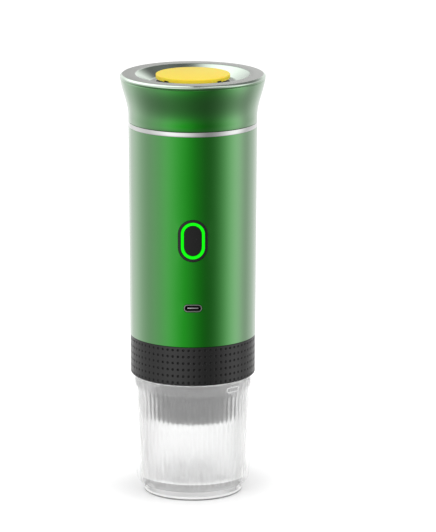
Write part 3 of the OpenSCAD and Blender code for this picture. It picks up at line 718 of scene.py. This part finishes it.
@dataclass
class Cup:
    """Clear cup with a smooth rim band, a reeded wall, a rounded corner and a hollow foot."""

    height: float = 66.3
    mouth_r: float = 34.0
    low_r: float = 31.3
    wall: float = 1.8
    rim_ease: float = 0.35
    corner_r: float = 4.0
    corner_start: float = -88.0
    corner_steps: int = 10
    foot_h: float = 4.9
    foot_r: float = 27.0
    foot_wall: float = 2.4
    foot_ease: float = 0.5
    # foot_edge tops the strip of painted shade on the foot's lower edge, foot_line is the height of the painted
    # highlight above it
    foot_edge: float = 0.9
    edge_ease: float = 0.63
    foot_line: float = 1.0
    foot_bead: float = 0.35
    base: float = 3.8
    # span of the band of painted shade on the outside of the thick base
    band_low: float = 0.6
    band_high: float = 1.5
    reeds: int = 72
    reed_depth: float = 0.35
    reed_low: float = 1.2
    reed_top: float = 58.8
    reed_run: float = 0.8
    steps_per_reed: int = 12
    sliver: float = 0.02
    near: float = 0.1
    catch_angle: float = 40.0
    catch_drop: float = 3.6
    catch_l: float = 8.5
    catch_w: float = 2.8
    catch_rim: float = 0.4
    catch_proud: float = 0.3
    catch_steps: int = 48

    @property
    def z_wall(self) -> float:
        """Give the height where the wall starts above the rounded corner."""
        return self.foot_h + self.corner_r

    def build(self) -> None:
        """Build the cup with its reeds and its catch."""
        floor = self.foot_h + self.base
        hollow_r = self.foot_r - self.foot_wall
        bead_r, z_bead = self.foot_r - self.foot_bead, self.foot_edge + self.foot_line
        inner = self._wall_r(floor + self.corner_r) - self.corner_r - self.wall
        reeded = (self.z_wall + self.reed_low, self.reed_top - self.reed_run, self.reed_top)
        section = [
            Corner(0, self.foot_h), Corner(hollow_r, self.foot_h, self.foot_ease), Corner(hollow_r, 0, self.foot_ease),
            Corner(self.foot_r, 0, self.edge_ease, 4), Corner(self.foot_r, self.foot_edge),
            Corner(self.foot_r, z_bead - self.foot_bead), Corner(bead_r, z_bead),
            Corner(bead_r, self.foot_h + self.sliver),
            *arc((self.low_r - self.corner_r, self.z_wall), self.corner_r, self.corner_start, 0, self.corner_steps),
            *(Corner(self._wall_r(z), z) for z in reeded),
            Corner(self.mouth_r, self.height, self.rim_ease),
            Corner(self.mouth_r - self.wall, self.height, self.rim_ease),
            *arc((inner, floor + self.corner_r), self.corner_r, 0, -90, self.corner_steps), Corner(0, floor),
        ]
        shape = Shape().turn(section, self.reeds * self.steps_per_reed, closed=False)
        shape.move(self._reed)
        shape.paint(1, lambda at, normal: at.z < self.foot_h)
        # Painted marks on the outside: a grey band of painted shade on the thick base, a dark strip of painted shade on
        # the foot's lower edge and a white strip of painted highlight above it.
        zones = ((2, self.foot_h + self.band_low, floor + self.band_high), (3, self.sliver, self.foot_edge),
                 (4, self.foot_edge, z_bead))
        for slot, low, high in zones:
            shape.paint(slot, lambda at, normal: self._outside(at) and low < at.z < high)
        shape.finish("clear_cup", Body.CUP, [CLEAR, CLEAR_FOOT, BASE_BAND_SHADE, FOOT_SHADE, FOOT_HIGHLIGHT], ["cup"], 30)
        self._catch()

    def _catch(self) -> None:
        """Build the small raised oval on the rim band where the cup is turned to lock, painted pale as a highlight
        round its outline.
        """
        z = self.height - self.catch_drop
        face = self._wall_r(z) + self.catch_proud
        shape = Shape().oval(self.catch_l, self.catch_w, self.catch_proud, 0.1, ring=self.catch_rim,
                             segments=self.catch_steps)
        turn = Matrix.Rotation(math.radians(self.catch_angle), 3, "Z")
        shape.wrap(face, z).move(lambda at: turn @ at)
        shape.finish("cup_catch", Body.CUP, [CATCH_HIGHLIGHT], [])

    def _outside(self, at: Vector) -> bool:
        """Tell whether a point lies on the outside of the foot, the corner or the wall.

        Args:
            at: a point of the cup.

        Returns:
            Whether it does.
        """
        if at.z < self.foot_h:
            least = self.foot_r - self.foot_edge
        elif at.z < self.z_wall:
            least = self._wall_r(at.z) - self.corner_r
        else:
            least = self._wall_r(at.z) - self.wall / 2
        return from_axis(at) > least

    def _wall_r(self, z: float) -> float:
        """Give the outer radius of the wall at a height."""
        return self.low_r + (self.mouth_r - self.low_r) * (z - self.z_wall) / (self.height - self.z_wall)

    def _reed(self, at: Vector) -> Vector:
        """Sink the grooves between the reeds into the outer wall.

        Args:
            at: a point of the cup.

        Returns:
            The point, moved inwards if it lies in a groove.
        """
        r = from_axis(at)
        depth = self.wall / 2 if at.z > self.z_wall - self.near else self.corner_r + self.near
        outside = r > self._wall_r(max(at.z, self.z_wall)) - depth
        if not (outside and self.foot_h + self.near < at.z < self.reed_top - self.near):
            return at
        sink = self.reed_depth * (0.5 + 0.5 * math.cos(math.atan2(at.y, at.x) * self.reeds))
        fade = min(1.0, (at.z - self.foot_h) / self.corner_r)
        k = (r - sink * fade) / r
        return Vector((at.x * k, at.y * k, at.z))


@dataclass
class Holder:
    """Capsule holder with its dimpled grip ring."""

    z_cup: float = 66.5
    z_top: float = 88.3
    z_collar: float = 59.9
    z_snout: float = 42.3
    z_chamber: float = 44.5
    z_ledge: float = 78.5
    outer_r: float = 32.3
    collar_r: float = 31.6
    snout_r: float = 25.0
    collar_lip: float = 2.0
    chamber_r: float = 23.3
    socket_r: float = 29.3
    outlet_r: float = 6.0
    steps: int = 128
    grip_r: float = 34.1
    pit_rows: int = 6
    pit_columns: int = 72
    pit_w: float = 1.4
    pit_lip: float = 0.04
    pit_slope: float = 0.18
    pit_depth: float = 0.75
    near: float = 0.2

    def build(self) -> None:
        """Build the holder and the grip ring."""
        collar_from = self.snout_r + self.collar_lip
        Shape().turn([
            Corner(self.outlet_r, self.z_snout, 0.4), Corner(self.snout_r, self.z_snout, 1.2, 4),
            Corner(self.snout_r, self.z_collar, 0.4), Corner(self.collar_r, self.z_collar, 0.5),
            Corner(self.collar_r, self.z_cup, 0.2), Corner(self.outer_r, self.z_cup),
            Corner(self.outer_r, self.z_top, 0.2), Corner(self.socket_r, self.z_top, 0.4),
            Corner(self.socket_r, self.z_ledge, 0.2), Corner(self.chamber_r, self.z_ledge, 0.3),
            Corner(self.chamber_r, self.z_chamber, 0.4), Corner(self.outlet_r, self.z_chamber, 0.3),
        ], self.steps).paint(1, lambda at, normal: from_axis(at) > collar_from and at.z < self.z_cup).finish(
            "capsule_holder_grey", Body.HOLDER, [HOLDER_GREY, COLLAR_SHEEN], ["capsule_holder"])
        self._grip()

    def _grip(self) -> None:
        """Build the grip ring: a turned sleeve with a grid of round dimples."""
        pitch = (self.z_top - self.z_cup) / self.pit_rows
        heights = [self.z_cup + pitch * (k + 0.5) for k in range(self.pit_rows)]
        outer = [Corner(self.grip_r, z + s * self.pit_w / 2) for z in heights for s in (-1, 1)]
        section = [
            Corner(self.outer_r, self.z_cup + 0.2), Corner(self.outer_r, self.z_cup),
            Corner(self.outer_r + 0.2, self.z_cup), Corner(self.grip_r - 1.0, self.z_cup),
            Corner(self.grip_r - 0.3, self.z_cup + 0.3), Corner(self.grip_r, self.z_cup + 0.9), *outer,
            Corner(self.grip_r, self.z_top - 0.45), Corner(self.grip_r - 0.03, self.z_top - 0.12),
            Corner(self.grip_r - 0.15, self.z_top), Corner(self.outer_r + 0.2, self.z_top),
            Corner(self.outer_r, self.z_top), Corner(self.outer_r, self.z_top - 0.2),
        ]
        shape = Shape().turn(section, self.pit_columns * 2)
        pits = []
        for face in shape.bm.faces:
            at = face.calc_center_median()
            column = math.floor(math.degrees(math.atan2(at.y, at.x)) * self.pit_columns * 2 / 360.0)
            level = any(abs(at.z - z) < self.near for z in heights)
            if level and column % 2 == 0 and from_axis(at) > self.grip_r - self.near:
                pits.append(face)
        for inset, depth in ((self.pit_lip, 0.0), (self.pit_slope, -self.pit_depth)):
            bmesh.ops.inset_individual(shape.bm, faces=pits, thickness=inset, depth=depth, use_even_offset=True)
        made = shape.finish("dimpled_grip", Body.HOLDER, [RUBBER], ["grip_ring"], 180)
        smooth = made.modifiers.new("round_dimples", "SUBSURF")
        smooth.levels = smooth.render_levels = 1


@dataclass
class BodyTube:
    """Green tube with its bright band."""

    z_top: float = 204.3
    top_r: float = 35.0
    wall: float = 1.4
    band_h: float = 2.5
    band_ease: float = 0.15
    steps: int = 192

    def build(self) -> None:
        """Dress the tube and build the band."""
        dress("body_shell", GREEN)
        inner, high = self.top_r - self.wall, self.z_top + self.band_h
        Shape().turn([
            Corner(inner, self.z_top), Corner(self.top_r, self.z_top, self.band_ease, 2),
            Corner(self.top_r, high, self.band_ease, 2), Corner(inner, high),
        ], self.steps).finish("bright_band", Body.MACHINE, [BAND], ["trim_ring"])


@dataclass
class FrontPanel:
    """Black surround, lit ring, push button and charging port on the front of the tube."""

    z_button: float = 147.5
    z_port: float = 110.2
    face_r: float = 34.657
    port_r: float = 34.431
    surround_w: float = 16.0
    surround_h: float = 23.2
    surround_depth: float = 9.0
    surround_proud: float = 0.35
    flat_back: float = 4.0
    rim: float = 1.5
    fit: float = 0.1
    ring: float = 1.55
    ring_depth: float = 3.0
    ring_proud: float = 0.15
    slit: float = 0.25
    button_depth: float = 4.4
    button_proud: float = 0.5
    button_rounds: int = 4
    socket_w: float = 8.94
    socket_h: float = 3.26
    socket_wall: float = 0.3
    socket_fit: float = 0.04
    socket_depth: float = 9.0
    socket_sunk: float = 0.5
    port_rim: float = 0.42
    port_depth: float = 2.2
    port_proud: float = 0.12
    back_fit: float = 0.5
    back_y: float = 6.2
    tongue: Place = (6.0, 5.4, 0.7)
    tongue_at: Place = (0.0, 3.6, -0.25)

    def build(self) -> None:
        """Build the button group and the port."""
        w, h = self.surround_w, self.surround_h
        Shape().oval(w, h, self.surround_depth, 0.25, ring=self.rim).wrap(
            self.face_r + self.surround_proud, self.z_button, self.flat_back).finish(
            "black_surround", Body.MACHINE, [BLACK], ["button_bezel"])
        w, h = (side - 2 * self.rim - self.fit for side in (w, h))
        Shape().oval(w, h, self.ring_depth, 0.12, ring=self.ring).wrap(
            self.face_r + self.ring_proud, self.z_button).finish("lit_ring", Body.MACHINE, [LIGHT], ["light_ring"])
        w, h = (side - 2 * (self.ring + self.slit) for side in (w, h))
        Shape().oval(w, h, self.button_depth, 0.3, rounds=self.button_rounds).wrap(
            self.face_r + self.button_proud, self.z_button).finish(
            "push_button", Body.BUTTON, [BUTTON_BLACK], ["power_button"])
        self._port()

    def _port(self) -> None:
        """Build the port's rim and its dark socket with a tongue."""
        w, h = self.socket_w, self.socket_h
        Shape().oval(w + 2 * self.port_rim, h + 2 * self.port_rim, self.port_depth, 0.1, ring=self.port_rim).wrap(
            self.port_r + self.port_proud, self.z_port).finish("port_rim", Body.MACHINE, [PORT], ["usb_bezel"])
        shell = Shape().oval(w - self.socket_fit, h - self.socket_fit, self.socket_depth, 0.08, ring=self.socket_wall)
        back = Shape().oval(w - self.back_fit, h - self.back_fit, 1.0, 0.0, rounds=1)
        shell.join(back.shift((0, self.back_y, 0)), 0)
        tongue = Shape()
        bmesh.ops.create_cube(tongue.bm, size=1.0)
        bmesh.ops.scale(tongue.bm, vec=self.tongue, verts=tongue.bm.verts[:])
        tongue.bevel(tongue.bm.edges[:], 0.15, 2)
        shell.join(tongue.shift(self.tongue_at), 1)
        shell.shift((0, self.socket_sunk - self.port_r, self.z_port))
        shell.finish("port_socket", Body.MACHINE, [SOCKET_DARK, STEEL], ["usb_socket"])


@dataclass
class Lid:
    """Flared green lid with its steel dish."""

    z_low: float = 207.0
    z_top: float = 232.8
    tube_r: float = 35.0
    flare: float = 4.5
    flare_start: float = 3.0
    flare_end: float = 0.45
    flare_steps: int = 24
    wall: float = 1.6
    edge_h: float = 1.4
    edge_face: float = 0.5
    bevel: float = 1.1
    rim_in_r: float = 31.0
    floor_r: float = 23.4
    depth: float = 4.4
    metal: float = 1.2
    hub_r: float = 5.3
    well_r: float = 20.0
    groove_at: float = 0.953
    groove_w: float = 0.012
    groove_depth: float = 0.22
    flat: float = 0.985
    polish_in: float = 1.0
    polish_down: float = 0.5
    well_flat: float = 0.9
    well_up: float = 0.1
    steps: int = 192

    def build(self) -> None:
        """Build the flared shell and the dish."""
        low, high = self.groove_at - self.groove_w, self.groove_at + self.groove_w
        dip = self._flare(self.groove_at)
        outer = [self._flare(low * i / self.flare_steps) for i in range(self.flare_steps + 1)]
        outer += [Corner(dip.r - self.groove_depth, dip.z), self._flare(high), self._flare(1.0)]
        inner = [self._flare(i / self.flare_steps) for i in range(self.flare_steps, -1, -1)]
        inner = [Corner(c.r - self.wall, c.z) for c in inner]
        Shape().turn([Corner(self.tube_r, self.z_low, 0.15, 2), *outer, *inner,
                      Corner(self.tube_r - self.wall, self.z_low)], self.steps).finish(
            "flared_lid", Body.LID, [LID_GREEN], ["lid_shell"])
        self._dish()

    def _dish(self) -> None:
        """Build the steel dish: outer bevel, flat rim, polished cone tinted by a painted reflection, and floor with
        painted shade under the vent button.
        """
        z_edge, z_floor = self.z_top - self.edge_h, self.z_top - self.depth
        edge_r, half = self.tube_r + self.flare, self.metal / 2
        Shape().turn([
            Corner(edge_r, z_edge), Corner(edge_r, z_edge + self.edge_face, 0.2),
            Corner(edge_r - self.bevel, self.z_top, 0.25), Corner(self.rim_in_r, self.z_top, 0.5, 4),
            Corner(self.floor_r, z_floor, 0.8, 4), Corner(self.well_r, z_floor), Corner(self.hub_r, z_floor, 0.2),
            Corner(self.hub_r, z_floor - self.metal), Corner(self.floor_r - half, z_floor - self.metal),
            Corner(self.rim_in_r - half, z_edge),
        ], self.steps).paint(1, self._polished).paint(2, self._shaded_floor).finish(
            "steel_dish", Body.LID, [DISH, DISH_POLISHED, DARK_AND_SHADE], ["lid_dish"])

    def _flare(self, t: float) -> Corner:
        """Give a corner of the flare.

        Args:
            t: share of the way up.

        Returns:
            The corner.
        """
        share = t * t * (3 - 2 * t) - self.flare_end * t * t * (1 - t)
        z0 = self.z_low + self.flare_start
        return Corner(self.tube_r + self.flare * share, z0 + t * (self.z_top - self.edge_h - z0))

    def _polished(self, at: Vector, normal: Vector) -> bool:
        """Tell whether a face of the dish is polished: the cone, its roundings and the outer bevel."""
        z_low = self.z_top - self.depth - self.polish_down
        return normal.z < self.flat and from_axis(at) > self.floor_r - self.polish_in and at.z > z_low

    def _shaded_floor(self, at: Vector, normal: Vector) -> bool:
        """Tell whether a face of the dish lies on the floor under the vent button, where shade is painted."""
        z_high = self.z_top - self.depth + self.well_up
        return normal.z > self.well_flat and from_axis(at) < self.well_r and at.z < z_high


@dataclass
class Vent:
    """Yellow vent button with the spring under it."""

    z_top: float = 232.8
    r: float = 20.2
    t: float = 2.2
    hub_r: float = 5.0
    z_hub: float = 223.7
    stem_hole_r: float = 2.55
    stem_grip: float = 3.0
    notch_h: float = 0.65
    notch_depth: float = 1.6
    notch_angle: float = 45.0
    notch_half: float = 3.4
    # limits of the painted shade inside the notches
    shade_in: float = 4.0
    shade_out: float = 0.05
    shade_low: float = 0.02
    shade_high: float = 0.6
    steps: int = 160
    spring_r: float = 4.2
    spring_wire: float = 0.8
    spring_turns: int = 5
    spring_low: float = 213.72
    spring_rise: float = 9.46
    wire_sides: int = 12
    turn_steps: int = 32
    press: float = 1.6

    def build(self) -> None:
        """Build the button and the spring."""
        under = self.z_top - self.t
        z_grip = self.z_hub + self.stem_grip
        shape = Shape().turn([
            Corner(0, self.z_top), Corner(self.r, self.z_top, 0.5, 4), Corner(self.r, under + self.notch_h),
            Corner(self.r, under), Corner(self.r - self.notch_depth, under),
            Corner(self.hub_r, under, 0.3), Corner(self.hub_r, self.z_hub, 0.3),
            Corner(self.stem_hole_r, self.z_hub), Corner(self.stem_hole_r, z_grip), Corner(0, z_grip),
        ], self.steps, closed=False)
        self._notch(shape)
        shape.finish("yellow_vent", Body.VENT, [YELLOW, DARK_AND_SHADE], ["vent_button"])
        self._spring()

    def _notch(self, shape: Shape) -> None:
        """Cut four small notches into the lower edge of the button, and paint shade inside them.

        Args:
            shape: the turned button.
        """
        under = self.z_top - self.t
        roof = under + self.notch_h
        deep = self.r - self.notch_depth
        lip = []
        for face in shape.bm.faces:
            at = face.calc_center_median()
            off = math.degrees(math.atan2(at.y, at.x)) % 90.0 - self.notch_angle
            if abs(off) < self.notch_half and from_axis(at) > deep and at.z < roof:
                lip.append(face)
        pushed = bmesh.ops.extrude_face_region(shape.bm, geom=lip)["geom"]
        for vert in (g for g in pushed if isinstance(g, bmesh.types.BMVert)):
            k = deep / from_axis(vert.co)
            vert.co = Vector((vert.co.x * k, vert.co.y * k, roof))
        bmesh.ops.delete(shape.bm, geom=lip, context="FACES")
        shape.weld()
        # Painted shade inside the notches.
        near, far = self.hub_r + self.shade_in, self.r - self.shade_out
        low, high = under + self.shade_low, self.z_top - self.shade_high
        shape.paint(1, lambda at, normal: near < from_axis(at) < far and low < at.z < high)

    def _spring(self) -> None:
        """Wind the spring: a round wire spun upwards about the axis."""
        shape = Shape()
        place = Matrix.Translation((self.spring_r, 0, self.spring_low)) @ Matrix.Rotation(math.pi / 2, 4, "X")
        wire = bmesh.ops.create_circle(shape.bm, cap_ends=True, radius=self.spring_wire / 2, segments=self.wire_sides,
                                       matrix=place)
        ends = wire["verts"]
        edges = list({e for v in ends for e in v.link_edges})
        steps = self.spring_turns * self.turn_steps
        bmesh.ops.spin(shape.bm, geom=[*ends, *edges, *shape.bm.faces[:]], cent=(0, 0, 0), axis=(0, 0, 1),
                       dvec=(0, 0, self.spring_rise / steps), angle=math.tau * self.spring_turns, steps=steps,
                       use_merge=False, use_duplicate=False)
        made = shape.weld().finish("wound_spring", Body.LID, [STEEL], ["vent_spring"])
        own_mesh(made)


@dataclass
class SoftRings:
    """Gaskets and hoses, turned with rounded sections."""

    z_brew: float = 79.7
    brew_out: float = 28.0
    brew_in: float = 24.8
    brew_t: float = 2.4
    brew_ease: float = 0.6
    z_lid: float = 204.35
    lid_out: float = 33.48
    lid_in: float = 31.88
    lid_t: float = 2.33
    lid_ease: float = 0.4
    hose_in: float = 1.72
    hose_ease: float = 0.25
    steps: int = 96

    def build(self) -> None:
        """Build both gaskets and both hoses."""
        self._tube("brew_gasket", Body.BREW_SEAL, SILICONE, "brew_seal", (0, 0), self.brew_out, self.brew_in,
                   self.z_brew, self.z_brew + self.brew_t, self.brew_ease)
        self._tube("lid_gasket", Body.LID_SEAL, SILICONE, "lid_seal", (0, 0), self.lid_out, self.lid_in,
                   self.z_lid, self.z_lid + self.lid_t, self.lid_ease)
        for node in ("inlet_hose", "outlet_hose"):
            low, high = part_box(node)
            middle = ((low.x + high.x) / 2 / MM, (low.y + high.y) / 2 / MM)
            self._tube(f"{node}_soft", Body.MACHINE, HOSE, node, middle, (high.x - low.x) / 2 / MM, self.hose_in,
                       low.z / MM, high.z / MM, self.hose_ease)

    def _tube(self, name: str, body: Body, finish: Finish, node: str, middle: tuple[float, float], out_r: float,
              in_r: float, low: float, high: float, ease: float) -> None:
        """Build one ring or tube.

        Args:
            name: name of the piece.
            body: body that it rides on.
            finish: its finish.
            node: CAD node that it replaces.
            middle: x and y of its axis.
            out_r: outer radius.
            in_r: inner radius.
            low: lower end.
            high: upper end.
            ease: rounding of its edges.
        """
        corners = [Corner(r, z, ease) for r, z in ((in_r, low), (out_r, low), (out_r, high), (in_r, high))]
        Shape().turn(corners, self.steps).shift((*middle, 0)).finish(name, body, [finish], [node])


def dress(node: str, finish: Finish) -> None:
    """Give a CAD node a finish.

    Args:
        node: name of the node.
        finish: its finish.
    """
    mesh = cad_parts[node].data
    mesh.materials.clear()
    mesh.materials.append(finish.material())
    LOG.info("%s: CAD solid in %s", node, finish.slot)


@dataclass
class Works:
    """CAD solids that keep their own shape and get a finish."""

    finishes: dict[str, Finish] = field(default_factory=lambda: {
        "strainer_plate": STEEL, "brew_head": DARK_AND_SHADE, "pierce_needle": STEEL, "head_screws": STEEL,
        "inner_frame": FRAME_PLASTIC, "water_tank": TANK, "pump_block": PUMP, "gear_plate": STEEL,
        "plate_screws": STEEL, "motor": MOTOR, "motor_pinion": BRASS, "drive_gear": GEAR, "battery_cells": SLEEVE,
        "circuit_board": BOARD, "tact_switch": DARK_AND_SHADE, "lid_liner": DARK_AND_SHADE, "vent_stem": STEEL, "vent_valve": DARK_AND_SHADE,
    })

    def build(self) -> None:
        """Dress the solids."""
        for node, finish in self.finishes.items():
            dress(node, finish)


@dataclass
class Studio:
    """Pale floor, plain soft light, world and camera."""

    floor_r: float = 5.0
    floor_steps: int = 64
    floor_grey: float = 0.8
    # glow next to the object and far off, and the distances over which it grows: the lower glow near the base paints a
    # shadow round it
    floor_glow: Span = (0.2, 0.46)
    shadow_reach: Span = (0.02, 0.075)
    glow_through: float = 0.28
    eye: Place = (0.0, -2.1514, 0.6221)
    pitch: float = 12.99
    lens: float = 273.05
    sensor: float = 36.0
    shift: float = 0.0472
    far: float = 100.0
    bounces: int = 24
    aim: Place = (0.0, 0.0, 0.12)
    fill: float = 0.76
    even_level: float = 0.75
    even_share: Span = (0.5, 0.0)
    below: Span = (-0.75, -0.3)
    below_level: Span = (0.256, 0.8)
    overhead: Span = (0.2, 0.6)
    ramp_top: float = 2.0
    round_light: tuple[Span, ...] = (
        (-180, 0.55), (-164, 1.2), (-148, 1.0), (-123, 0.97), (-109, 0.86), (-97, 0.8), (-87, 0.78), (-78, 0.86),
        (-60, 1.03), (-50, 1.21), (-40, 1.27), (-29, 1.21), (-14, 1.02), (-7, 0.87), (0, 0.71),
        (7, 0.55), (15, 0.44), (22, 0.34), (30, 0.32), (37, 0.37), (45, 0.5), (53, 0.69), (61, 0.91), (70, 1.15),
        (80, 1.26), (88, 1.22), (98, 0.98), (110, 0.72), (124, 0.79), (145, 0.97), (164, 1.1), (180, 1.25))
    high_light: tuple[Span, ...] = (
        (-180, 0.28), (-165, 1.15), (-147, 1.95), (-120, 1.8), (-100, 1.3), (-60, 0.7), (-35, 0.5), (0, 0.6),
        (25, 0.55), (55, 0.3), (86, 1.5), (105, 1.0), (120, 0.3), (147, 0.26), (165, 0.15), (180, 0.28))

    def build(self) -> None:
        """Set up the studio."""
        self._camera()
        self._floor()
        self._world()
        self._lamp("key_panel", (-0.9, -1.1, 1.6), 1.6, 14.0)
        self._lamp("side_panel", (1.3, -0.4, 1.2), 1.4, 7.0)
        scene = bpy.context.scene
        scene.view_settings.view_transform = "Standard"
        scene.cycles.max_bounces = scene.cycles.transmission_bounces = self.bounces
        scene.cycles.glossy_bounces = self.bounces // 2

    def _camera(self) -> None:
        """Put the camera at the photograph's angle."""
        lens = bpy.data.cameras.new("camera")
        lens.lens = self.lens
        lens.sensor_width = self.sensor
        lens.shift_x = self.shift
        lens.clip_end = self.far
        eye = put("camera", lens)
        eye.location = self.eye
        eye.rotation_euler = (math.radians(90 - self.pitch), 0.0, 0.0)
        bpy.context.scene.camera = eye

    def _floor(self) -> None:
        """Lay a pale floor that is white to the eye and keeps the shadow."""
        bm = bmesh.new()
        bmesh.ops.create_circle(bm, cap_ends=True, radius=self.floor_r, segments=self.floor_steps)
        mesh = bpy.data.meshes.new("floor")
        bm.to_mesh(mesh)
        bm.free()
        floor = put("floor", mesh)
        paint = bpy.data.materials.new("pale_floor")
        self._floor_paint(NodeDesk.fresh(paint))
        mesh.materials.append(paint)

    def _floor_paint(self, desk: NodeDesk) -> None:
        """Make the floor glow a little to the eye, less next to the object as a painted shadow round its base, and
        leave it out of what the metal mirrors.

        Args:
            desk: helper on the floor's tree.
        """
        rays = desk.node("ShaderNodeLightPath").outputs
        away = desk.vector("LENGTH", desk.node("ShaderNodeTexCoord").outputs["Object"])
        # Less glow next to the object paints a shadow round its base, on top of the floor's own shadow.
        pale = desk.spread(away, self.floor_glow, self.shadow_reach, "SMOOTHSTEP")
        seen = desk.products((rays["Is Camera Ray"], pale), (rays["Is Transmission Ray"], self.glow_through))
        matt = desk.node("ShaderNodeBsdfDiffuse", {"Color": (*grey(self.floor_grey), 1.0)})
        white = desk.node("ShaderNodeEmission", {"Strength": seen})
        both = desk.node("ShaderNodeAddShader", {0: matt.outputs[0], 1: white.outputs[0]})
        clear = desk.node("ShaderNodeBsdfTransparent")
        mirrored = desk.math("SUBTRACT", rays["Is Glossy Ray"], rays["Is Transmission Ray"], clamp=True)
        choose = desk.node("ShaderNodeMixShader", {0: mirrored, 1: both.outputs[0], 2: clear.outputs[0]})
        desk.node("ShaderNodeOutputMaterial", {"Surface": choose.outputs[0]})

    def _world(self) -> None:
        """Make the white surroundings, with soft panels for what the metal mirrors."""
        world = bpy.data.worlds.new("studio")
        bpy.context.scene.world = world
        desk = NodeDesk.fresh(world)
        rays = desk.node("ShaderNodeLightPath").outputs
        where = desk.node("ShaderNodeTexCoord").outputs["Generated"]
        x, y, z = desk.node("ShaderNodeSeparateXYZ", {0: where}).outputs
        turn = desk.math("ARCTAN2", x, desk.math("MULTIPLY", y, -1.0))
        share = desk.math("ADD", desk.math("DIVIDE", turn, math.tau), 0.5)
        even = desk.spread(z, self.even_share, self.below, "SMOOTHSTEP")
        level = desk.mix(even, self._ramp(desk, share, self.round_light), (*grey(self.even_level), 1.0))
        up = desk.spread(z, (0.0, 1.0), self.overhead, "SMOOTHSTEP")
        low = desk.spread(z, self.below_level, self.below, "SMOOTHSTEP")
        mirrored = desk.math("MULTIPLY", desk.mix(up, level, self._ramp(desk, share, self.high_light)), low)
        plain = desk.products((rays["Is Glossy Ray"], mirrored), (rays["Is Diffuse Ray"], self.fill))
        seen = desk.math("MAXIMUM", rays["Is Camera Ray"], rays["Is Transmission Ray"])
        within = desk.math("MINIMUM", rays["Transmission Depth"], 1.0)
        white = desk.math("MAXIMUM", seen, desk.math("MULTIPLY", within, rays["Is Glossy Ray"]))
        back = desk.node("ShaderNodeBackground", {"Color": (*grey(1.0), 1.0),
                                                  "Strength": desk.math("MAXIMUM", plain, white)})
        desk.node("ShaderNodeOutputWorld", {"Surface": back.outputs[0]})

    def _ramp(self, desk: NodeDesk, share: Socket, levels: Sequence[Span]) -> Socket:
        """Make a ramp of light levels round the object.

        Args:
            desk: helper on the world's tree.
            share: place round the object, 0 to 1, half way towards the camera.
            levels: angle in degrees and level of each stop.

        Returns:
            The level.
        """
        ramp = desk.node("ShaderNodeValToRGB", {0: share})
        ramp.color_ramp.interpolation = "CARDINAL"
        stops = ramp.color_ramp.elements
        while len(stops) < len(levels):
            stops.new(0.5)
        for stop, (angle, level) in zip(stops, levels):
            stop.position = (angle + 180) / 360
            stop.color = (*grey(level / self.ramp_top), 1.0)
        return desk.math("MULTIPLY", ramp.outputs[0], self.ramp_top)

    def _lamp(self, name: str, place: Place, size: float, power: float) -> None:
        """Hang a soft lamp panel that points at the object and isn't mirrored in it.

        Args:
            name: name of the lamp.
            place: where it hangs, in metres.
            size: side of the panel, in metres.
            power: power in watts.
        """
        data = bpy.data.lights.new(name, "AREA")
        data.size = size
        data.energy = power
        lamp = put(name, data)
        lamp.location = place
        lamp.rotation_euler = (Vector(self.aim) - Vector(place)).to_track_quat("-Z", "Y").to_euler()
        lamp.visible_glossy = False
        lamp.visible_transmission = False


def main() -> None:
    """Build the studio and every sub-assembly, and note the sizes."""
    logging.basicConfig(level=logging.INFO, format="%(message)s")
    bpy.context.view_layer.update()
    for part in (Studio(), Cup(), Holder(), BodyTube(), FrontPanel(), Lid(), Vent(), SoftRings(), Works()):
        part.build()
    bpy.context.view_layer.update()


if __name__ == "__main__":
    main()
